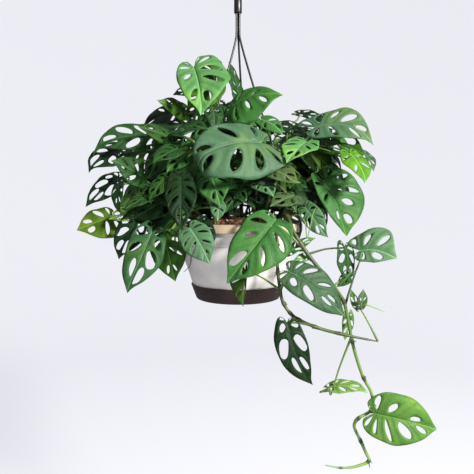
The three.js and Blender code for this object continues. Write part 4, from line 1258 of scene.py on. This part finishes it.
# %% Hanger pieces
HANGER_PLASTIC = plastic("black_plastic", "1B191D", "121114", 0.36, patch=0.01)[0]
ARM_RADIUS, ARM_SPREAD, ARM_SPLIT = 1.6, 2.8, -131
ARM_ANGLES = [-24, 78, 214]
SOCKET_TOP, BLOCK_RADIUS, BLOCK_TOP, BLOCK_BASE = -79, 6, -66, -91
HOOK_RADIUS, HOOK_ROD = 10, 3.2
SEAT_GAP = 0.3
FACETS = 24  # of the CAD pot, whose flats the arms stay clear of
ROD_SIDES = 16
RODS = make_tube_tree("hanger_rods", ROD_SIDES)
BLOCK_PROFILE = [
    (0, BLOCK_BASE), (BLOCK_RADIUS - 1, BLOCK_BASE), (BLOCK_RADIUS - 0.3, BLOCK_BASE + 0.3),
    (BLOCK_RADIUS, BLOCK_BASE + 1), (BLOCK_RADIUS, BLOCK_TOP - 4),
    (BLOCK_RADIUS - 0.5, BLOCK_TOP - 2.4), (HOOK_ROD + 0.9, BLOCK_TOP - 0.3),
    (HOOK_ROD, BLOCK_TOP), (0, BLOCK_TOP),
]


def hook_path():
    arch = HOOK_RADIUS + HOOK_ROD
    turns = [math.radians(degrees) for degrees in range(205, -36, -30)]
    points = [(arch * math.cos(a), 0, arch * math.sin(a) - HOOK_RADIUS) for a in turns]
    return smooth_path(points + [(4.5, 0, -28), (0.6, 0, -38), (0, 0, -50), (0, 0, BLOCK_TOP - 3)])


def arm_path(degrees):
    outer = RIM_RADIUS + SEAT_GAP + ARM_RADIUS
    inner = SKIRT_INSIDE * math.cos(math.pi / FACETS) - SEAT_GAP - ARM_RADIUS
    middle = (outer + inner) / 2
    bend = RIM_TOP - RIM_BAND - SEAT_GAP - 0.3
    profile = [
        (ARM_SPREAD, SOCKET_TOP - SEAT_GAP), (ARM_SPREAD, ARM_SPLIT + 8),
        (ARM_SPREAD + 1, ARM_SPLIT), (outer / 2 - 4, (ARM_SPLIT + RIM_TOP + 10) / 2),
        (outer - 2.4, RIM_TOP + 10), (outer - 0.5, RIM_TOP + 4), (outer, RIM_TOP - 2),
        (outer, bend), (middle + 1.9, bend - 2.2), (middle, bend - 3.1),
        (middle - 1.9, bend - 2.2), (inner, bend), (inner, bend + 5),
    ]
    dx, dy = math.cos(math.radians(degrees)), math.sin(math.radians(degrees))
    return smooth_path([(radius * dx, radius * dy, z) for radius, z in profile])


def rod_piece(name, path, radius, stands_for):
    chains = Chains()
    chains.add(path, [radius, radius], [0, 0])
    seat(merged(name, [chains.tubes(RODS, HANGER_PLASTIC)]), "hanger", stands_for)


rod_piece("hook_rod", hook_path(), HOOK_ROD, "hanger_hook")
seat(turned("hanger_block", BLOCK_PROFILE, HANGER_PLASTIC, level=0), "hanger", "hanger_hook")
for index, degrees in enumerate(ARM_ANGLES, 1):
    rod_piece(f"arm_rod_{index}", arm_path(degrees), ARM_RADIUS, f"hanger_arm_{index}")
print("hanger arms:", len(ARM_ANGLES))

# %% [markdown]
# ## Potting soil
#
# The root ball is a dark mound of bark, coir and white perlite. A smooth mound comes
# first. Geometry Nodes then strew chips over its top, which saves placing a thousand of
# them by hand, and `Realize Instances` makes them real faces at the end.

# %% Soil bed
SOIL_FLOOR = POT_BASE + 3 + SEAT_GAP
SOIL_PROFILE = [
    (0, SOIL_FLOOR), (FOOT_RADIUS - POT_WALL - 0.6, SOIL_FLOOR),
    *[(radius - SEAT_GAP - 0.1, height) for radius, height in reversed(INNER_WALL)],
    (SOIL_RADIUS - 1, SOIL_EDGE - 1),
    *[(radius, soil_height(radius, 0) - 1.5) for radius in np.linspace(SOIL_RADIUS, 0, 14)[1:]],
]


def soil_material(name, dark, light, scale):
    material, tree = new_material(name)
    grains = noise(object_place(tree), scale, 4.0)
    colour = blend(fade(grains, 0.42, 0.62), paint(light), paint(dark))
    return dress(material, Base_Color=colour, Roughness=0.9, Normal=bump(grains, 0.8, 0.002))


SOIL = soil_material("damp_soil", "150D08", "2E1D12", 260.0)
BARK = soil_material("bark_chip", "3B2313", "8A5B34", 120.0)
PERLITE = soil_material("perlite_grain", "B9B0A4", "E9E4DA", 300.0)
bed = turned("soil_bed", SOIL_PROFILE, SOIL)
seat(bed, "soil", "soil")
print("soil crown above the rim:", SOIL_CROWN, "mm")

# %% Strewn chips
CRUMPLE = 0.35
CHIPS = (  # material, grains to a square metre, sizes in mm, height by width, seed
    ("bark_chips", BARK, 42000.0, 1.4, 3.6, 0.45, 3),
    ("perlite_grains", PERLITE, 9000.0, 0.8, 1.9, 0.85, 8),
    ("soil_crumbs", SOIL, 44000.0, 0.8, 2.4, 0.8, 5),
)


def make_strew():
    tree, given, result = new_group(
        "strewn_chips", "GeometryNodeTree",
        {GEOMETRY: ["Geometry"], FLOAT: ["Density", "Smallest", "Largest", "Flatness"],
         INT: ["Seed"], MATERIAL: ["Material"]}, {GEOMETRY: ["Geometry"]})

    def random(low, high, kind="FLOAT_VECTOR", seed=given["Seed"]):
        return node(tree, "FunctionNodeRandomValue", data_type=kind, Min=low, Max=high, Seed=seed)

    facing = node(tree, "ShaderNodeSeparateXYZ", node(tree, "GeometryNodeInputNormal"))["Z"]
    spots = node(tree, "GeometryNodeDistributePointsOnFaces", given["Geometry"],
                 Selection=facing.math("GREATER_THAN", 0.5), Density=given["Density"],
                 Seed=given["Seed"])
    chip = node(tree, "GeometryNodeMeshIcoSphere", Radius=1.0, Subdivisions=1)
    rough = node(tree, "GeometryNodeSetPosition", chip,
                 Offset=random((-CRUMPLE,) * 3, (CRUMPLE,) * 3, seed=0))
    size = random(given["Smallest"], given["Largest"], "FLOAT")
    placed = node(
        tree, "GeometryNodeInstanceOnPoints", spots, Instance=rough,
        Rotation=random((-0.5, -0.5, 0), (0.5, 0.5, 2 * math.pi)),
        Scale=node(tree, "ShaderNodeCombineXYZ", size * 1.3, size, size * given["Flatness"]))
    wire(dressed(placed, given["Material"]), result["Geometry"])
    return tree


STREW = make_strew()
for name, material, density, small, large, flatness, seed in CHIPS:
    chips = grown(bed.data, STREW, Density=density, Smallest=small * MM, Largest=large * MM,
                  Flatness=flatness, Seed=seed, Material=material)
    seat(merged(name, [chips]), "soil")
    print(name, "faces:", len(chips.polygons))

# %% [markdown]
# ## Studio
#
# The plant hangs in a pale studio. The floor is a wide dish whose rim curves up, so that
# there is no line where it meets the wall, from whatever side the plant is seen. A warm
# key light stands at the front right, and the sky gives a soft cool fill.

# %% Floor and lights
FLOOR_HEIGHT, FLOOR_FLAT, FLOOR_BEND, WALL_TOP = -1250, 2200, 1600, 1600
PAPER_GLOW = 0.68  # lifts the paper that is seen, without lighting the plant

paper, paper_tree = new_material("studio_paper")
seen = node(paper_tree, "ShaderNodeLightPath")["Is Camera Ray"]
dress(paper, Base_Color=(0.35, 0.355, 0.38, 1), Roughness=0.9,
      Emission_Color=(0.93, 0.94, 1.0, 1), Emission_Strength=seen * PAPER_GLOW)
turned("studio_floor", [
    (FLOOR_FLAT + FLOOR_BEND, WALL_TOP),
    *[(FLOOR_FLAT + FLOOR_BEND * math.sin(a), FLOOR_HEIGHT + FLOOR_BEND * (1 - math.cos(a)))
      for a in np.linspace(math.pi / 2, 0, 13)], (0, FLOOR_HEIGHT),
], paper, level=0)


def add_light(name, place, target, size, power, colour):
    light = new_object(name, bpy.data.lights.new(name, "AREA"))
    light.data.shape, light.data.size = "DISK", size
    light.data.energy, light.data.color = power, colour
    light.location = Vector(place) * MM
    aim = Vector(target) * MM - light.location
    light.rotation_euler = aim.to_track_quat("-Z", "Y").to_euler()


sky = bpy.data.worlds.new("studio_sky")
sky.use_nodes = True
background = next(n for n in sky.node_tree.nodes if n.type == "BACKGROUND")
wire((0.93, 0.95, 1.0, 1), background.inputs["Color"])
wire(0.38, background.inputs["Strength"])
bpy.context.scene.world = sky
add_light("key", (1300, -1500, 500), (20, 0, -400), 0.40, 112, (1.0, 0.965, 0.91))
add_light("low_fill", (-500, -1500, -900), (0, 0, -500), 0.80, 6.5, (0.95, 0.97, 1.0))
bpy.context.scene.view_settings.view_transform = "Standard"
